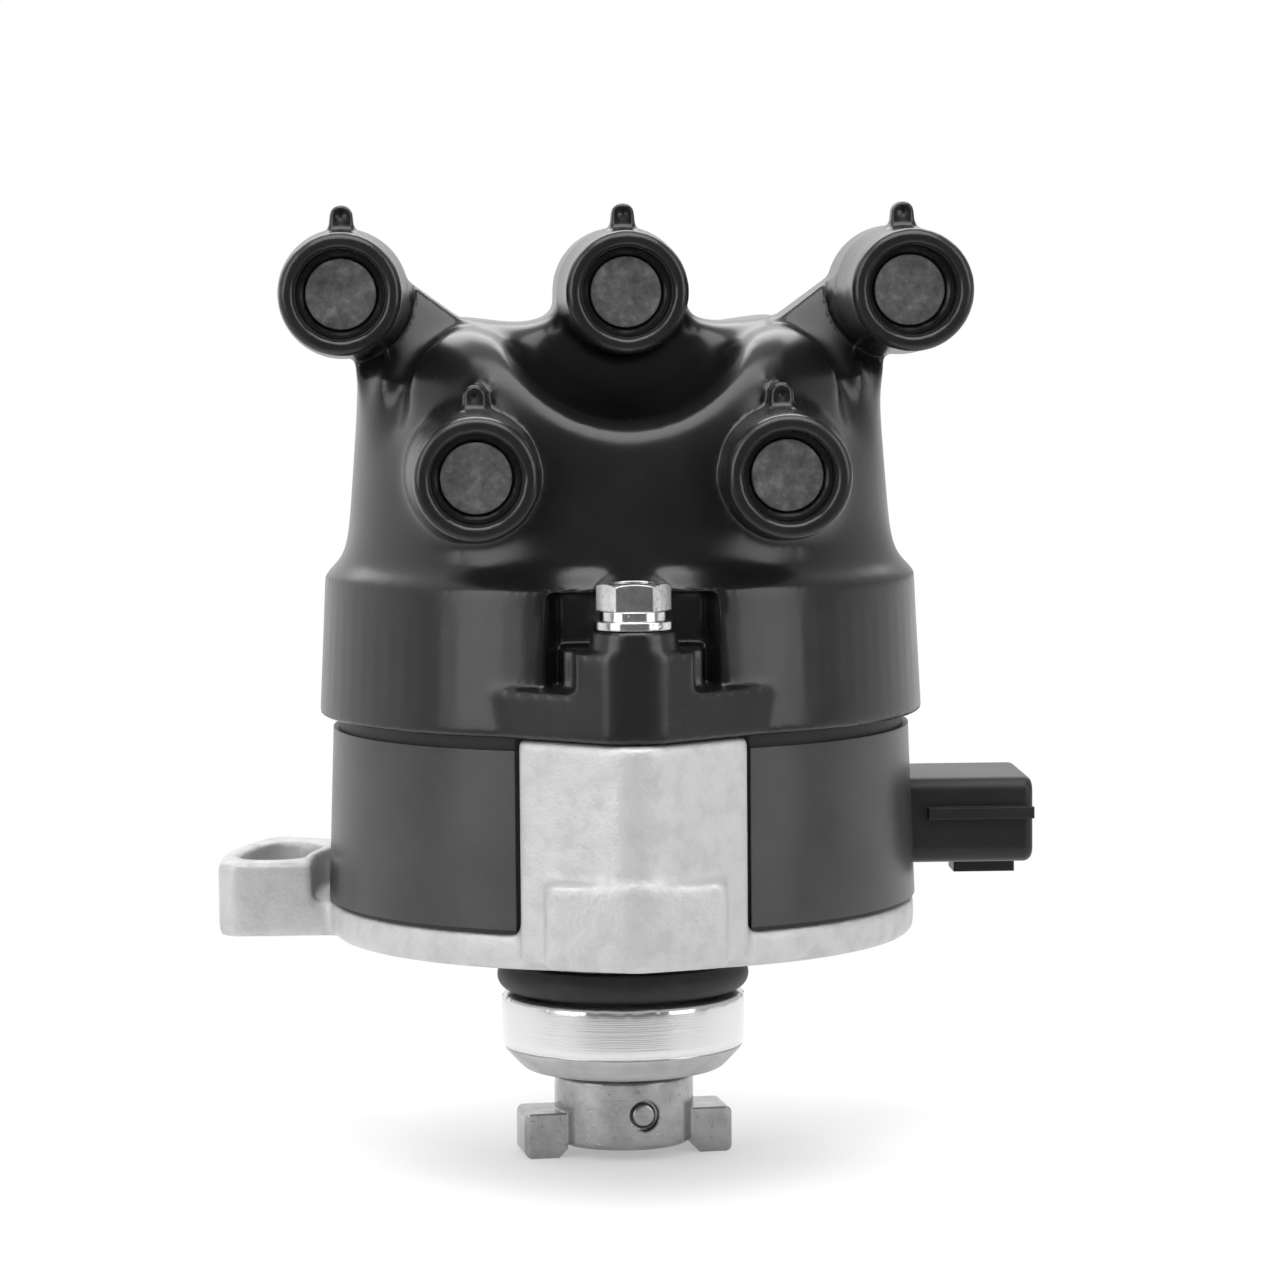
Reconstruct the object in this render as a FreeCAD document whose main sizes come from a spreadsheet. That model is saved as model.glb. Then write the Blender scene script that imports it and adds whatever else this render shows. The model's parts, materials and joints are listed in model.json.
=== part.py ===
import FreeCAD, Part
import math
import os
import re

import Sketcher

# An ignition distributor whose five lead towers all face one side.
# The shaft runs along Z, the flange's underside lies at z = 0, and the towers face -Y.
# Lengths are millimetres and angles degrees.

os.makedirs("parts", exist_ok=True)
DOC = FreeCAD.newDocument("Distributor")

SIZES = {
    # how far a cutting outline runs past what it cuts
    "overrun": 2.0,
    # fits between pieces
    "seat_gap": 0.1,
    "press_gap": 0.01,
    "running_gap": 0.03,
    "mould_gap": 0.03,
    # mounting flange
    "flange_radius": 38.2,
    "flange_thickness": 4.5,
    "flange_chamfer": 0.6,
    # pilot that plugs into the cylinder head
    "pilot_radius": 16.0,
    "pilot_length": 18.3,
    "pilot_lead_height": 3.2,
    "pilot_lead_inset": 3.0,
    "groove_depth_from_flange": 3.8,
    "groove_width": 4.4,
    "o_ring_section": 1.95,
    "o_ring_proud": 0.55,
    # hold-down ear with its timing slot
    "ear_rim": 2.6,
    "ear_web": 1.5,
    "ear_height": 9.8,
    "ear_root_inset": 4.0,
    "ear_front": 3.8,
    "ear_back_angle": 29.0,
    "ear_corner": 3.0,
    "slot_radius": 46.2,
    "slot_width": 8.2,
    "slot_start_angle": 5.2,
    "slot_end_angle": 18.0,
    # screw bosses at the front and the back
    "screw_reach": 41.0,
    "boss_nose": 6.0,
    "boss_flank": 38.0,
    "boss_half_width": 14.0,
    "boss_inner": 34.4,
    "boss_lift": 1.2,
    "boss_foot_nose": 6.8,
    "boss_foot_flank": 20.0,
    "boss_foot_half_width": 11.2,
    "boss_foot_height": 11.9,
    "boss_foot_round": 1.4,
    "screw_radius": 2.5,
    "tapping_depth": 14.0,
    # bearing hub inside the ring
    "hub_radius": 19.0,
    "bearing_floor": 3.0,
    "bearing_radius": 13.0,
    "bearing_width": 8.0,
    "shaft_radius": 5.0,
    "passage_radius": 6.2,
    "seal_radius": 10.0,
    "seal_width": 5.0,
    "seal_depth": 5.5,
    "seal_lead": 1.0,
    "seal_skin": 1.2,
    "seal_web": 3.6,
    "bush_radius": 7.0,
    "bush_length": 10.0,
    "bush_inset": 0.5,
    # parts of the ball bearing
    "race_thickness": 2.3,
    "ball_radius": 2.2,
    "ball_count": 7,
    "ball_play": 0.05,
    "cage_height": 3.0,
    "cage_thickness": 1.2,
    "retainer_thickness": 1.2,
    "retainer_bore": 11.6,
    "retainer_screw_circle": 16.0,
    "retainer_screw_count": 3,
    "small_screw_radius": 1.5,
    "small_screw_length": 6.0,
    "small_head_radius": 2.6,
    "small_head_height": 1.8,
    # drive coupling
    "coupling_radius": 9.15,
    "coupling_height": 9.2,
    "coupling_chamfer": 0.5,
    "coupling_turn": 15.0,
    "thrust_washer_thickness": 0.4,
    "dog_span": 27.7,
    "dog_width": 8.0,
    "dog_height": 5.9,
    "dog_turn": 8.0,
    "dog_drop": 1.5,
    "dog_bevel": 1.2,
    "dog_inner_radius": 8.2,
    "dog_round": 1.0,
    "pin_radius": 1.6,
    "pin_height": 4.5,
    "pin_inset": 0.3,
    "pin_recess": 1.0,
    "pin_sink": 0.45,
    # drive shaft above the bearing
    "shoulder_radius": 7.0,
    "shoulder_height": 3.8,
    "upper_shaft_radius": 4.0,
    "spigot_radius": 3.5,
    "spigot_flat": 2.6,
    "spigot_height": 15.0,
    # sensor ring
    "gasket_thickness": 0.5,
    "gasket_inset": 0.5,
    "gasket_land": 6.0,
    "ring_height": 22.3,
    "ring_bottom_radius": 38.4,
    "ring_top_radius": 37.6,
    "ring_inner_radius": 35.2,
    "ring_floor": 2.5,
    "blind_depth": 2.1,
    "ring_flat": 31.7,
    "hub_clearance": 1.5,
    "notch_gap": 0.5,
    "post_circle": 32.0,
    "post_radius": 3.3,
    "post_count": 4,
    # connector on the ring
    "plug_reach": 54.4,
    "plug_root": 30.5,
    "plug_floor": 41.5,
    "plug_front": 0.0,
    "plug_width": 20.0,
    "plug_bottom": 7.9,
    "plug_height": 11.4,
    "plug_wall": 1.6,
    "plug_corner": 2.2,
    "plug_nose_round": 1.2,
    "rib_height": 1.5,
    "rib_proud": 1.0,
    "rib_rise": 6.0,
    "rib_gap": 2.0,
    "latch_length": 8.1,
    "latch_width": 6.0,
    "latch_height": 2.0,
    "latch_setback": 1.7,
    "terminal_count": 4,
    "terminal_pitch": 3.9,
    "terminal_width": 0.8,
    "terminal_reach": 6.5,
    "terminal_tail": 3.0,
    # trigger disc, sensor and cover
    "disc_radius": 26.5,
    "disc_thickness": 0.6,
    "window_count": 4,
    "window_radius": 20.5,
    "window_width": 3.0,
    "window_length": 7.0,
    "slit_count": 36,
    "slit_length": 2.6,
    "slit_width": 1.1,
    "slit_inset": 1.0,
    "collar_height": 4.5,
    "pickup_inner": 21.5,
    "pickup_outer": 34.0,
    "pickup_width": 15.0,
    "pickup_height": 13.0,
    "pickup_slot": 2.4,
    "pickup_back": 1.0,
    "pickup_foot_width": 26.0,
    "pickup_foot_thickness": 2.2,
    "pickup_foot_inner": 26.0,
    "pickup_screw_spread": 10.2,
    "module_width": 20.0,
    "module_inner": 21.5,
    "module_height": 4.6,
    "module_screw_spread": 5.6,
    "module_tab_thickness": 1.4,
    "module_tab_depth": 4.6,
    "cover_height": 18.6,
    "cover_thickness": 1.2,
    "cover_gap": 0.4,
    "cover_bore": 6.6,
    "cover_lip": 1.6,
    "cover_lip_height": 1.0,
    # rotor arm
    "rotor_turn": -45.0,
    "rotor_hub_radius": 8.0,
    "rotor_height": 17.2,
    "rotor_skirt_radius": 20.0,
    "rotor_skirt_height": 8.0,
    "rotor_skirt_thickness": 3.0,
    "rotor_arm_width": 10.0,
    "rotor_tail": 12.0,
    "contact_width": 6.0,
    "contact_thickness": 1.0,
    "contact_tail": 4.0,
    "spark_gap": 0.8,
    # cap, from its lip up
    "cap_seal_thickness": 1.7,
    "cap_seal_inset": 0.7,
    "skirt_height": 18.2,
    "skirt_bottom_radius": 39.3,
    "skirt_top_radius": 38.4,
    "skirt_inner_radius": 35.8,
    "shoulder_rise": 2.7,
    "dome_radius": 35.6,
    "dome_top_radius": 33.9,
    "dome_wall_height": 22.0,
    "crown_radius": 25.5,
    "crown_rise": 7.2,
    "crown_swell": 0.7,
    "crown_round": 9.0,
    "cavity_height": 15.7,
    "cavity_inset": 1.2,
    "dome_inner_radius": 29.8,
    "ceiling_height": 28.5,
    "ceiling_round": 3.0,
    "lip_height": 6.0,
    "lip_half_width": 21.0,
    "pocket_height": 17.9,
    "pocket_depth": 33.6,
    "pocket_wall": 2.4,
    "pocket_half_width": 9.0,
    "pocket_mouth": 13.0,
    "lug_half_width": 7.2,
    "lug_front_radius": 9.0,
    "lug_height": 11.1,
    "lug_back_half_width": 8.6,
    "lug_back_reach": 38.2,
    "collar_radius": 5.4,
    "collar_rise": 2.7,
    "screw_play": 0.3,
    "channel_radius": 5.6,
    # lead towers
    "tower_radius": 7.65,
    "tower_grip": 9.0,
    "tower_root_radius": 8.3,
    "tower_length": 17.5,
    "tower_edge": 0.6,
    "tower_back_round": 3.0,
    "socket_radius": 5.6,
    "socket_depth": 5.2,
    "socket_chamfer": 0.4,
    "upper_tower_height": 83.6,
    "upper_tower_spread": 35.4,
    "upper_tower_face": 31.5,
    "lower_tower_height": 61.2,
    "lower_tower_spread": 19.0,
    "lower_tower_face": 44.5,
    "root_boss_radius": 8.9,
    "root_boss_length": 3.0,
    "root_boss_back": 20.0,
    "tab_width": 3.0,
    "tab_height": 2.9,
    "tab_length": 3.2,
    "tab_setback": 12.6,
    "tab_foot": 1.2,
    "tab_recess_radius": 0.8,
    "tab_recess_depth": 0.5,
    # front of the dome
    "lobe_plane": 14.0,
    "lobe_floor": 66.0,
    "lobe_half_width": 27.4,
    "lobe_top": 79.8,
    "lobe_round": 10.5,
    "scoop_radius": 16.2,
    "arm_depth": 15.0,
    "arm_inset": 0.8,
    "arm_foot": 73.2,
    "arm_toe": 25.9,
    "arm_outer": 27.4,
    "arm_outer_height": 85.3,
    "arm_inner": 17.6,
    "arm_inner_height": 78.2,
    "pillar_foot": 62.0,
    "pillar_front": 9.0,
    "pillar_inner": 28.6,
    "hump_depth": 22.0,
    "hump_foot": 74.0,
    "hump_round": 3.0,
    "rib_half_width": 3.6,
    "rib_foot": 70.0,
    "rib_top": 80.2,
    "rib_back": 23.5,
    # conductors moulded into the cap
    "contact_radius": 4.4,
    "contact_disc_thickness": 2.0,
    "conductor_radius": 1.25,
    "electrode_spread": 19.0,
    "electrode_radius": 2.0,
    "electrode_tip_height": 41.4,
    "electrode_bare": 8.4,
    "electrode_overlap": 3.0,
    "electrode_boss_radius": 4.0,
    "conductor_height": 74.0,
    "conductor_cross": 6.5,
    # carbon brush and its spring
    "brush_radius": 2.5,
    "brush_length": 9.5,
    "brush_gap": 0.1,
    "brush_clearance": 0.08,
    "guide_radius": 5.0,
    "guide_height": 49.0,
    "guide_roof": 66.0,
    "spring_wire": 0.3,
    "spring_radius": 1.8,
    "spring_turns": 5.0,
    # cap screws
    "flat_washer_radius": 5.0,
    "flat_washer_thickness": 1.0,
    "spring_washer_radius": 4.2,
    "spring_washer_thickness": 1.2,
    "spring_washer_slit": 0.6,
    "hex_width": 8.0,
    "hex_height": 3.4,
    "hex_dish_radius": 2.9,
    "hex_dish_depth": 0.7,
    "hex_crown": 0.4,
    "hex_turn": 12.0,
    "screw_grip": 26.0,
}

# Heights and places that follow from the sizes, each written once.
PLACES = {
    "seal_bottom": "press_gap - seal_depth",
    "slot_inner": "slot_radius - slot_width / 2",
    "slot_outer": "slot_radius + slot_width / 2",
    "ear_inner_radius": "slot_inner - ear_web",
    "ear_radius": "slot_outer + ear_rim",
    "groove_floor": "pilot_radius + o_ring_proud - 2 * o_ring_section - seat_gap / 2",
    "ring_bottom": "flange_thickness + gasket_thickness",
    "ring_top": "ring_bottom + ring_height",
    "ring_deck": "ring_bottom + ring_floor",
    "cap_bottom": "ring_top + cap_seal_thickness",
    "boss_top": "cap_bottom - seat_gap",
    "hub_top": "bearing_floor + bearing_width",
    "coupling_top": "-pilot_length - thrust_washer_thickness - seat_gap",
    "coupling_bottom": "coupling_top - coupling_height",
    "pin_level": "coupling_bottom + pin_height",
    "shoulder_top": "hub_top + shoulder_height",
    "disc_top": "shoulder_top + disc_thickness",
    "collar_top": "disc_top + collar_height",
    "cover_bottom": "ring_bottom + cover_height",
    "cover_top": "cover_bottom + cover_thickness",
    "rotor_bottom": "cover_top + cover_lip_height + 2 * cover_gap",
    "spigot_top": "rotor_bottom + spigot_height",
    "rotor_top": "rotor_bottom + rotor_height",
    "contact_top": "rotor_top + contact_thickness",
    "electrode_circle": "electrode_spread * sqrt(2)",
    "contact_reach": "electrode_circle - electrode_radius - spark_gap",
    "skirt_top": "cap_bottom + skirt_height",
    "dome_bottom": "skirt_top + shoulder_rise",
    "dome_wall_top": "dome_bottom + dome_wall_height",
    "crown_edge": "dome_wall_top + crown_rise",
    "crown_top": "crown_edge + crown_swell",
    "ceiling": "cap_bottom + ceiling_height",
    "lug_top": "cap_bottom + lug_height",
    "collar_seat": "lug_top + collar_rise",
    "washer_top": "collar_seat + flat_washer_thickness",
    "head_seat": "washer_top + spring_washer_thickness",
    "brush_bottom": "contact_top + brush_gap",
    "brush_top": "brush_bottom + brush_length",
    "ball_circle": "(shaft_radius + bearing_radius) / 2",
    "ball_level": "bearing_floor + bearing_width / 2",
    "plug_middle": "plug_front + plug_width / 2",
    "plug_level": "plug_bottom + plug_height / 2",
    "plug_top": "plug_bottom + plug_height",
}

SMALLEST_CHANGE = 1e-6


def fill_sheet():
    """Put every driving size into a spreadsheet, with its name as the alias of its cell."""
    sheet = DOC.addObject("Spreadsheet::Sheet", "Sizes")
    for row, (name, value) in enumerate(SIZES.items(), start=1):
        sheet.set(f"A{row}", name)
        sheet.set(f"B{row}", str(value))
        sheet.setAlias(f"B{row}", name)
    DOC.recompute()
    return sheet


def bound(text):
    """Return an expression in which each size or place is led by the object that holds it."""

    def lead(match):
        word = match.group(0)
        if word in SIZES:
            return f"Sizes.{word}"
        if word in PLACES:
            return f"Places.{word}"
        return word

    return re.sub(r"[a-z][a-z_]*", lead, str(text))


def fill_places():
    """Keep the worked-out places as bound properties, and return a spare object that answers number()."""
    places = DOC.addObject("App::VarSet", "Places")
    for name, text in PLACES.items():
        places.addProperty("App::PropertyFloat", name)
        places.setExpression(name, bound(text))
    answers = DOC.addObject("App::VarSet", "Answers")
    answers.addProperty("App::PropertyFloat", "answer")
    DOC.recompute()
    return answers


def number(text):
    """Return the present value of an expression of sizes and places."""
    ANSWERS.setExpression("answer", bound(text))
    ANSWERS.recompute()
    return ANSWERS.answer


def bind(item, **expressions):
    """Bind properties of an object; two underlines in a name stand for a full stop."""
    for name, text in expressions.items():
        item.setExpression(name.replace("__", "."), bound(text))
    return item


def place(item, x="0", y="0", z="0"):
    """Bind the position of an object."""
    for axis, text in zip("xyz", (x, y, z)):
        item.setExpression(f"Placement.Base.{axis}", bound(text))
    return item


def arc_centre(start, end, radius, turn):
    """Return the centre of the lesser arc from start to end; turn is 1 for anticlockwise."""
    middle = (start + end) * 0.5
    chord = end - start
    rise = math.sqrt(max(radius**2 - (chord.Length / 2) ** 2, 0.0))
    left = FreeCAD.Vector(-chord.y, chord.x, 0).normalize()
    return middle + left * (rise * turn)


def draw_loop(sketch, corners):
    """Draw a closed loop whose corners are bound to expressions.

    A corner is (x, y), or (x, y, radius, turn) where an arc leaves it for the next one.
    """
    first = sketch.GeometryCount
    points = [FreeCAD.Vector(number(c[0]), number(c[1]), 0) for c in corners]
    ends = []
    for index, corner in enumerate(corners):
        start = points[index]
        end = points[(index + 1) % len(points)]
        if len(corner) == 2:
            sketch.addGeometry(Part.LineSegment(start, end))
            ends.append((1, 2))
            continue
        radius = number(corner[2])
        turn = corner[3]
        centre = arc_centre(start, end, radius, turn)
        low, high = (start, end) if turn > 0 else (end, start)
        circle = Part.Circle(centre, FreeCAD.Vector(0, 0, 1), radius)
        from_angle = math.atan2(low.y - centre.y, low.x - centre.x)
        to_angle = math.atan2(high.y - centre.y, high.x - centre.x)
        sketch.addGeometry(Part.ArcOfCircle(circle, from_angle, to_angle))
        ends.append((1, 2) if turn > 0 else (2, 1))
    for index, corner in enumerate(corners):
        after = (index + 1) % len(corners)
        sketch.addConstraint(
            Sketcher.Constraint("Coincident", first + index, ends[index][1], first + after, ends[after][0])
        )
        for kind, text, value in (
            ("DistanceX", corner[0], points[index].x),
            ("DistanceY", corner[1], points[index].y),
        ):
            limit = Sketcher.Constraint(kind, -1, 1, first + index, ends[index][0], value)
            held = sketch.addConstraint(limit)
            sketch.setExpression(f"Constraints[{held}]", bound(text))
        if len(corner) > 2:
            held = sketch.addConstraint(Sketcher.Constraint("Radius", first + index, number(corner[2])))
            sketch.setExpression(f"Constraints[{held}]", bound(corner[2]))


def draw_circle(sketch, x, y, radius):
    """Draw a circle whose centre and radius are bound to expressions."""
    centre = FreeCAD.Vector(number(x), number(y), 0)
    index = sketch.addGeometry(Part.Circle(centre, FreeCAD.Vector(0, 0, 1), number(radius)))
    for kind, text, value in (("DistanceX", x, centre.x), ("DistanceY", y, centre.y)):
        held = sketch.addConstraint(Sketcher.Constraint(kind, -1, 1, index, 3, value))
        sketch.setExpression(f"Constraints[{held}]", bound(text))
    held = sketch.addConstraint(Sketcher.Constraint("Radius", index, number(radius)))
    sketch.setExpression(f"Constraints[{held}]", bound(radius))


def box(x0, y0, x1, y1):
    """Return the corners of an upright rectangle."""
    return [(x0, y0), (x1, y0), (x1, y1), (x0, y1)]


def swung(corners, angle):
    """Return straight-sided corners turned about the origin."""
    return [
        (f"({x}) * cos({angle}) - ({y}) * sin({angle})", f"({x}) * sin({angle}) + ({y}) * cos({angle})")
        for x, y in corners
    ]


def rounded_box(x0, y0, x1, y1, radius):
    """Return the corners of an upright rectangle with round corners, from low x, y to high x, y."""
    return [
        (f"{x0} + {radius}", y0),
        (f"{x1} - {radius}", y0, radius, 1),
        (x1, f"{y0} + {radius}"),
        (x1, f"{y1} - {radius}", radius, 1),
        (f"{x1} - {radius}", y1),
        (f"{x0} + {radius}", y1, radius, 1),
        (x0, f"{y1} - {radius}"),
        (x0, f"{y0} + {radius}", radius, 1),
    ]


class Piece:
    """One solid piece, made of sketched features in a body of its own."""

    def __init__(self, label):
        self.body = DOC.addObject("PartDesign::Body", label)
        self.body.Label = label

    def sketch(self, role, loops=(), circles=(), at=("0", "0", "0")):
        """Draw loops and circles on one of the body's own planes, moved by the offsets at."""
        plane = next(item for item in self.body.Origin.OriginFeatures if item.Role == role)
        sketch = self.body.newObject("Sketcher::SketchObject", self.body.Label + "_sketch")
        sketch.AttachmentSupport = [(plane, "")]
        sketch.MapMode = "FlatFace"
        for axis, text in zip("xyz", at):
            sketch.setExpression(f"AttachmentOffset.Base.{axis}", bound(text))
        for loop in loops:
            draw_loop(sketch, loop)
        for circle in circles:
            draw_circle(sketch, *circle)
        DOC.recompute()
        return sketch

    def feature(self, kind, sketch):
        """Start a sketched feature."""
        made = self.body.newObject("PartDesign::" + kind, self.body.Label + "_" + kind.lower())
        made.Profile = sketch
        sketch.Visibility = False
        return made

    def grow(self, sketch, length, backwards=False, taper=None):
        """Add the sketch's area, drawn out along the plane's normal or against it."""
        pad = self.feature("Pad", sketch)
        bind(pad, Length=length)
        pad.Reversed = backwards
        if taper is not None:
            bind(pad, TaperAngle=taper)
        DOC.recompute()
        return pad

    def cut(self, sketch, depth, forwards=False):
        """Remove the sketch's area against the plane's normal, or along it when forwards."""
        before = self.body.Shape.Volume
        pocket = self.feature("Pocket", sketch)
        bind(pocket, Length=depth)
        pocket.Reversed = forwards
        DOC.recompute()
        self.must_shrink(before, pocket)
        return pocket

    def turn(self, sketch, axis="V_Axis"):
        """Add the solid that the sketch sweeps about one of its axes."""
        revolution = self.feature("Revolution", sketch)
        revolution.ReferenceAxis = (sketch, [axis])
        revolution.Angle = 360
        DOC.recompute()
        return revolution

    def groove(self, sketch, axis="V_Axis"):
        """Remove the solid that the sketch sweeps about one of its axes."""
        before = self.body.Shape.Volume
        groove = self.feature("Groove", sketch)
        groove.ReferenceAxis = (sketch, [axis])
        groove.Angle = 360
        DOC.recompute()
        self.must_shrink(before, groove)
        return groove

    def repeat(self, feature, count):
        """Repeat a feature round the body's Z axis."""
        axis = next(item for item in self.body.Origin.OriginFeatures if item.Role == "Z_Axis")
        pattern = self.body.newObject("PartDesign::PolarPattern", self.body.Label + "_pattern")
        pattern.Originals = [feature]
        pattern.Axis = (axis, [""])
        pattern.Angle = 360
        bind(pattern, Occurrences=count)
        self.body.Tip = pattern
        DOC.recompute()
        return pattern

    def soften(self, chosen, size, kind="Fillet"):
        """Round or chamfer the edges of the tip that the test chosen picks by their middle."""
        tip = self.body.Tip
        names = []
        for index, edge in enumerate(tip.Shape.Edges, start=1):
            middle = edge.valueAt((edge.FirstParameter + edge.LastParameter) / 2)
            if chosen(edge, middle):
                names.append(f"Edge{index}")
        if not names:
            raise RuntimeError(f"{self.body.Label}: no edge to soften")
        dressed = self.body.newObject("PartDesign::" + kind, self.body.Label + "_" + kind.lower())
        dressed.Base = (tip, names)
        bind(dressed, **{"Radius" if kind == "Fillet" else "Size": size})
        DOC.recompute()
        return dressed

    def must_shrink(self, before, feature):
        """Stop when a cutting feature took nothing away."""
        if not self.body.Shape.Volume < before - SMALLEST_CHANGE:
            raise RuntimeError(f"{self.body.Label}: {feature.Name} cuts nothing")


def turned(label, corners, at=("0", "0", "0")):
    """Make a piece from an outline of (radius, height) corners turned about Z."""
    piece = Piece(label)
    piece.turn(piece.sketch("XZ_Plane", [corners], at=at))
    return piece


def tube(label, inner, outer, bottom, top):
    """Make a plain ring about Z."""
    return turned(label, box(inner, bottom, outer, top))


def group(label, items):
    """Join separate solids that share one node."""
    compound = DOC.addObject("Part::Compound", label)
    compound.Label = label
    compound.Links = items
    DOC.recompute()
    return compound


def cylinder(name, radius, height, x="0", y="0", z="0"):
    """Make a bound cylinder that stands along Z."""
    made = DOC.addObject("Part::Cylinder", name)
    bind(made, Radius=radius, Height=height)
    return place(made, x, y, z)


def boss_plan(side, nose, flank, half_width, inner, front=None):
    """Return the plan of a screw boss: a round nose with two slanted flanks; side is -1 at the front.

    A front radius larger than the nose leaves a ridge where the nose meets each flank.
    """
    tip_x = f"{nose} * sin({flank})"
    tip_y = f"(screw_reach + {nose} * cos({flank}))"
    corner = f"({tip_y} - ({half_width} - {tip_x}) * tan({flank}))"
    return [
        (f"-{half_width}", f"{side} * {inner}"),
        (f"-{half_width}", f"{side} * {corner}"),
        (f"-{tip_x}", f"{side} * {tip_y}", front or nose, -side),
        (tip_x, f"{side} * {tip_y}"),
        (half_width, f"{side} * {corner}"),
        (half_width, f"{side} * {inner}"),
    ]


def both_sides(*sizes):
    """Return the plans of the front boss and of its mirror image at the back."""
    return [boss_plan(side, *sizes) for side in (-1, 1)]


def screw_circles(radius):
    """Return circles of one radius about the two cap screws."""
    return [("0", f"{side} * screw_reach", radius) for side in (-1, 1)]


def ring_places(circle, count, offset=0):
    """Return (x, y) places spaced evenly round a circle; offset is a share of one step."""
    places = []
    for index in range(int(SIZES[count])):
        angle = f"(360 * ({index} + {offset}) / {count})"
        places.append((f"{circle} * cos({angle})", f"{circle} * sin({angle})"))
    return places


def boss_notches():
    """Return the two openings that a ring leaves for the housing's bosses."""
    return [
        box(
            "-boss_half_width - notch_gap",
            f"{side} * (boss_inner - notch_gap)",
            "boss_half_width + notch_gap",
            f"{side} * (ring_bottom_radius + overrun)",
        )
        for side in (-1, 1)
    ]


def flatted_circle(radius, flat):
    """Return a circle that is cut flat at the front and the back."""
    chord = f"sqrt({radius} ^ 2 - {flat} ^ 2)"
    return [
        (f"-{chord}", f"-{flat}"),
        (chord, f"-{flat}", radius, 1),
        (chord, flat),
        (f"-{chord}", flat, radius, 1),
    ]


def ear_sector(inner, outer):
    """Return a sector from the ear's straight front face round to its back end."""
    front_in = f"-sqrt({inner} ^ 2 - ear_front ^ 2)"
    front_out = f"-sqrt({outer} ^ 2 - ear_front ^ 2)"
    return [
        (front_out, "-ear_front"),
        (front_in, "-ear_front", inner, -1),
        (f"-{inner} * cos(ear_back_angle)", f"{inner} * sin(ear_back_angle)"),
        (f"-{outer} * cos(ear_back_angle)", f"{outer} * sin(ear_back_angle)", outer, 1),
    ]


def make_housing():
    """The cast aluminium base: pilot, flange, bearing hub, screw bosses and slotted ear."""
    piece = turned(
        "housing",
        [
            ("bush_radius + press_gap", "-pilot_length"),
            ("pilot_radius - pilot_lead_inset", "-pilot_length"),
            ("pilot_radius", "pilot_lead_height - pilot_length"),
            ("pilot_radius", "-groove_depth_from_flange - groove_width"),
            ("groove_floor", "-groove_depth_from_flange - groove_width"),
            ("groove_floor", "-groove_depth_from_flange"),
            ("pilot_radius", "-groove_depth_from_flange"),
            ("pilot_radius", "0"),
            ("flange_radius - flange_chamfer", "0"),
            ("flange_radius", "flange_chamfer"),
            ("flange_radius", "flange_thickness"),
            ("hub_radius", "flange_thickness"),
            ("hub_radius", "hub_top"),
            ("bearing_radius + press_gap", "hub_top"),
            ("bearing_radius + press_gap", "bearing_floor"),
            ("seal_radius + press_gap", "bearing_floor"),
            ("seal_radius + press_gap", "-seal_depth"),
            ("passage_radius", "-seal_depth"),
            ("passage_radius", "bush_length + bush_inset - pilot_length"),
            ("bush_radius + press_gap", "bush_length + bush_inset - pilot_length"),
        ],
    )
    ear_root = ear_sector("(flange_radius - ear_root_inset)", "ear_radius")
    piece.grow(piece.sketch("XY_Plane", [ear_root]), "flange_thickness")
    piece.grow(piece.sketch("XY_Plane", [ear_sector("ear_inner_radius", "ear_radius")]), "ear_height")

    def outer_corner(edge, middle):
        upright = abs(edge.tangentAt(edge.FirstParameter).z) > 0.99
        return upright and math.hypot(middle.x, middle.y) > number("ear_radius") - 0.1

    piece.soften(outer_corner, "ear_corner")
    start = "slot_start_angle"
    end = "slot_end_angle"
    piece.cut(
        piece.sketch(
            "XY_Plane",
            [
                [
                    (f"-slot_outer * cos({start})", f"slot_outer * sin({start})"),
                    (f"-slot_inner * cos({start})", f"slot_inner * sin({start})", "slot_inner", -1),
                    (f"-slot_inner * cos({end})", f"slot_inner * sin({end})"),
                    (f"-slot_outer * cos({end})", f"slot_outer * sin({end})", "slot_outer", 1),
                ]
            ],
        ),
        "ear_height",
        forwards=True,
    )
    ends = [
        (f"-slot_radius * cos({angle})", f"slot_radius * sin({angle})", "slot_width / 2")
        for angle in (start, end)
    ]
    piece.cut(piece.sketch("XY_Plane", circles=ends), "ear_height", forwards=True)
    plans = both_sides("boss_nose", "boss_flank", "boss_half_width", "boss_inner")
    piece.grow(piece.sketch("XY_Plane", plans, at=("0", "0", "boss_lift")), "boss_top - boss_lift")
    feet = both_sides("boss_foot_nose", "boss_foot_flank", "boss_foot_half_width", "boss_inner")
    piece.grow(piece.sketch("XY_Plane", feet, at=("0", "0", "boss_lift")), "boss_foot_height - boss_lift")

    def foot_corner(edge, middle):
        upright = abs(edge.tangentAt(edge.FirstParameter).z) > 0.99
        return upright and abs(abs(middle.x) - number("boss_foot_half_width")) < 0.01 and abs(middle.y) > 40

    piece.soften(foot_corner, "boss_foot_round")
    tapped = screw_circles("screw_radius + press_gap")
    piece.cut(piece.sketch("XY_Plane", circles=tapped, at=("0", "0", "boss_top")), "tapping_depth")
    hole = ("retainer_screw_circle", "0", "small_screw_radius + press_gap")
    drilled = piece.cut(
        piece.sketch("XY_Plane", circles=[hole], at=("0", "0", "hub_top")), "small_screw_length"
    )
    piece.repeat(drilled, "retainer_screw_count")
    return piece.body


def make_o_ring():
    """The rubber ring that stands a little proud of the pilot."""
    ring = DOC.addObject("Part::Torus", "pilot_o_ring")
    ring.Label = "pilot_o_ring"
    bind(ring, Radius1="groove_floor + o_ring_section + seat_gap / 2", Radius2="o_ring_section")
    place(ring, z="-groove_depth_from_flange - o_ring_section - seat_gap")
    DOC.recompute()
    return ring


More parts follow.
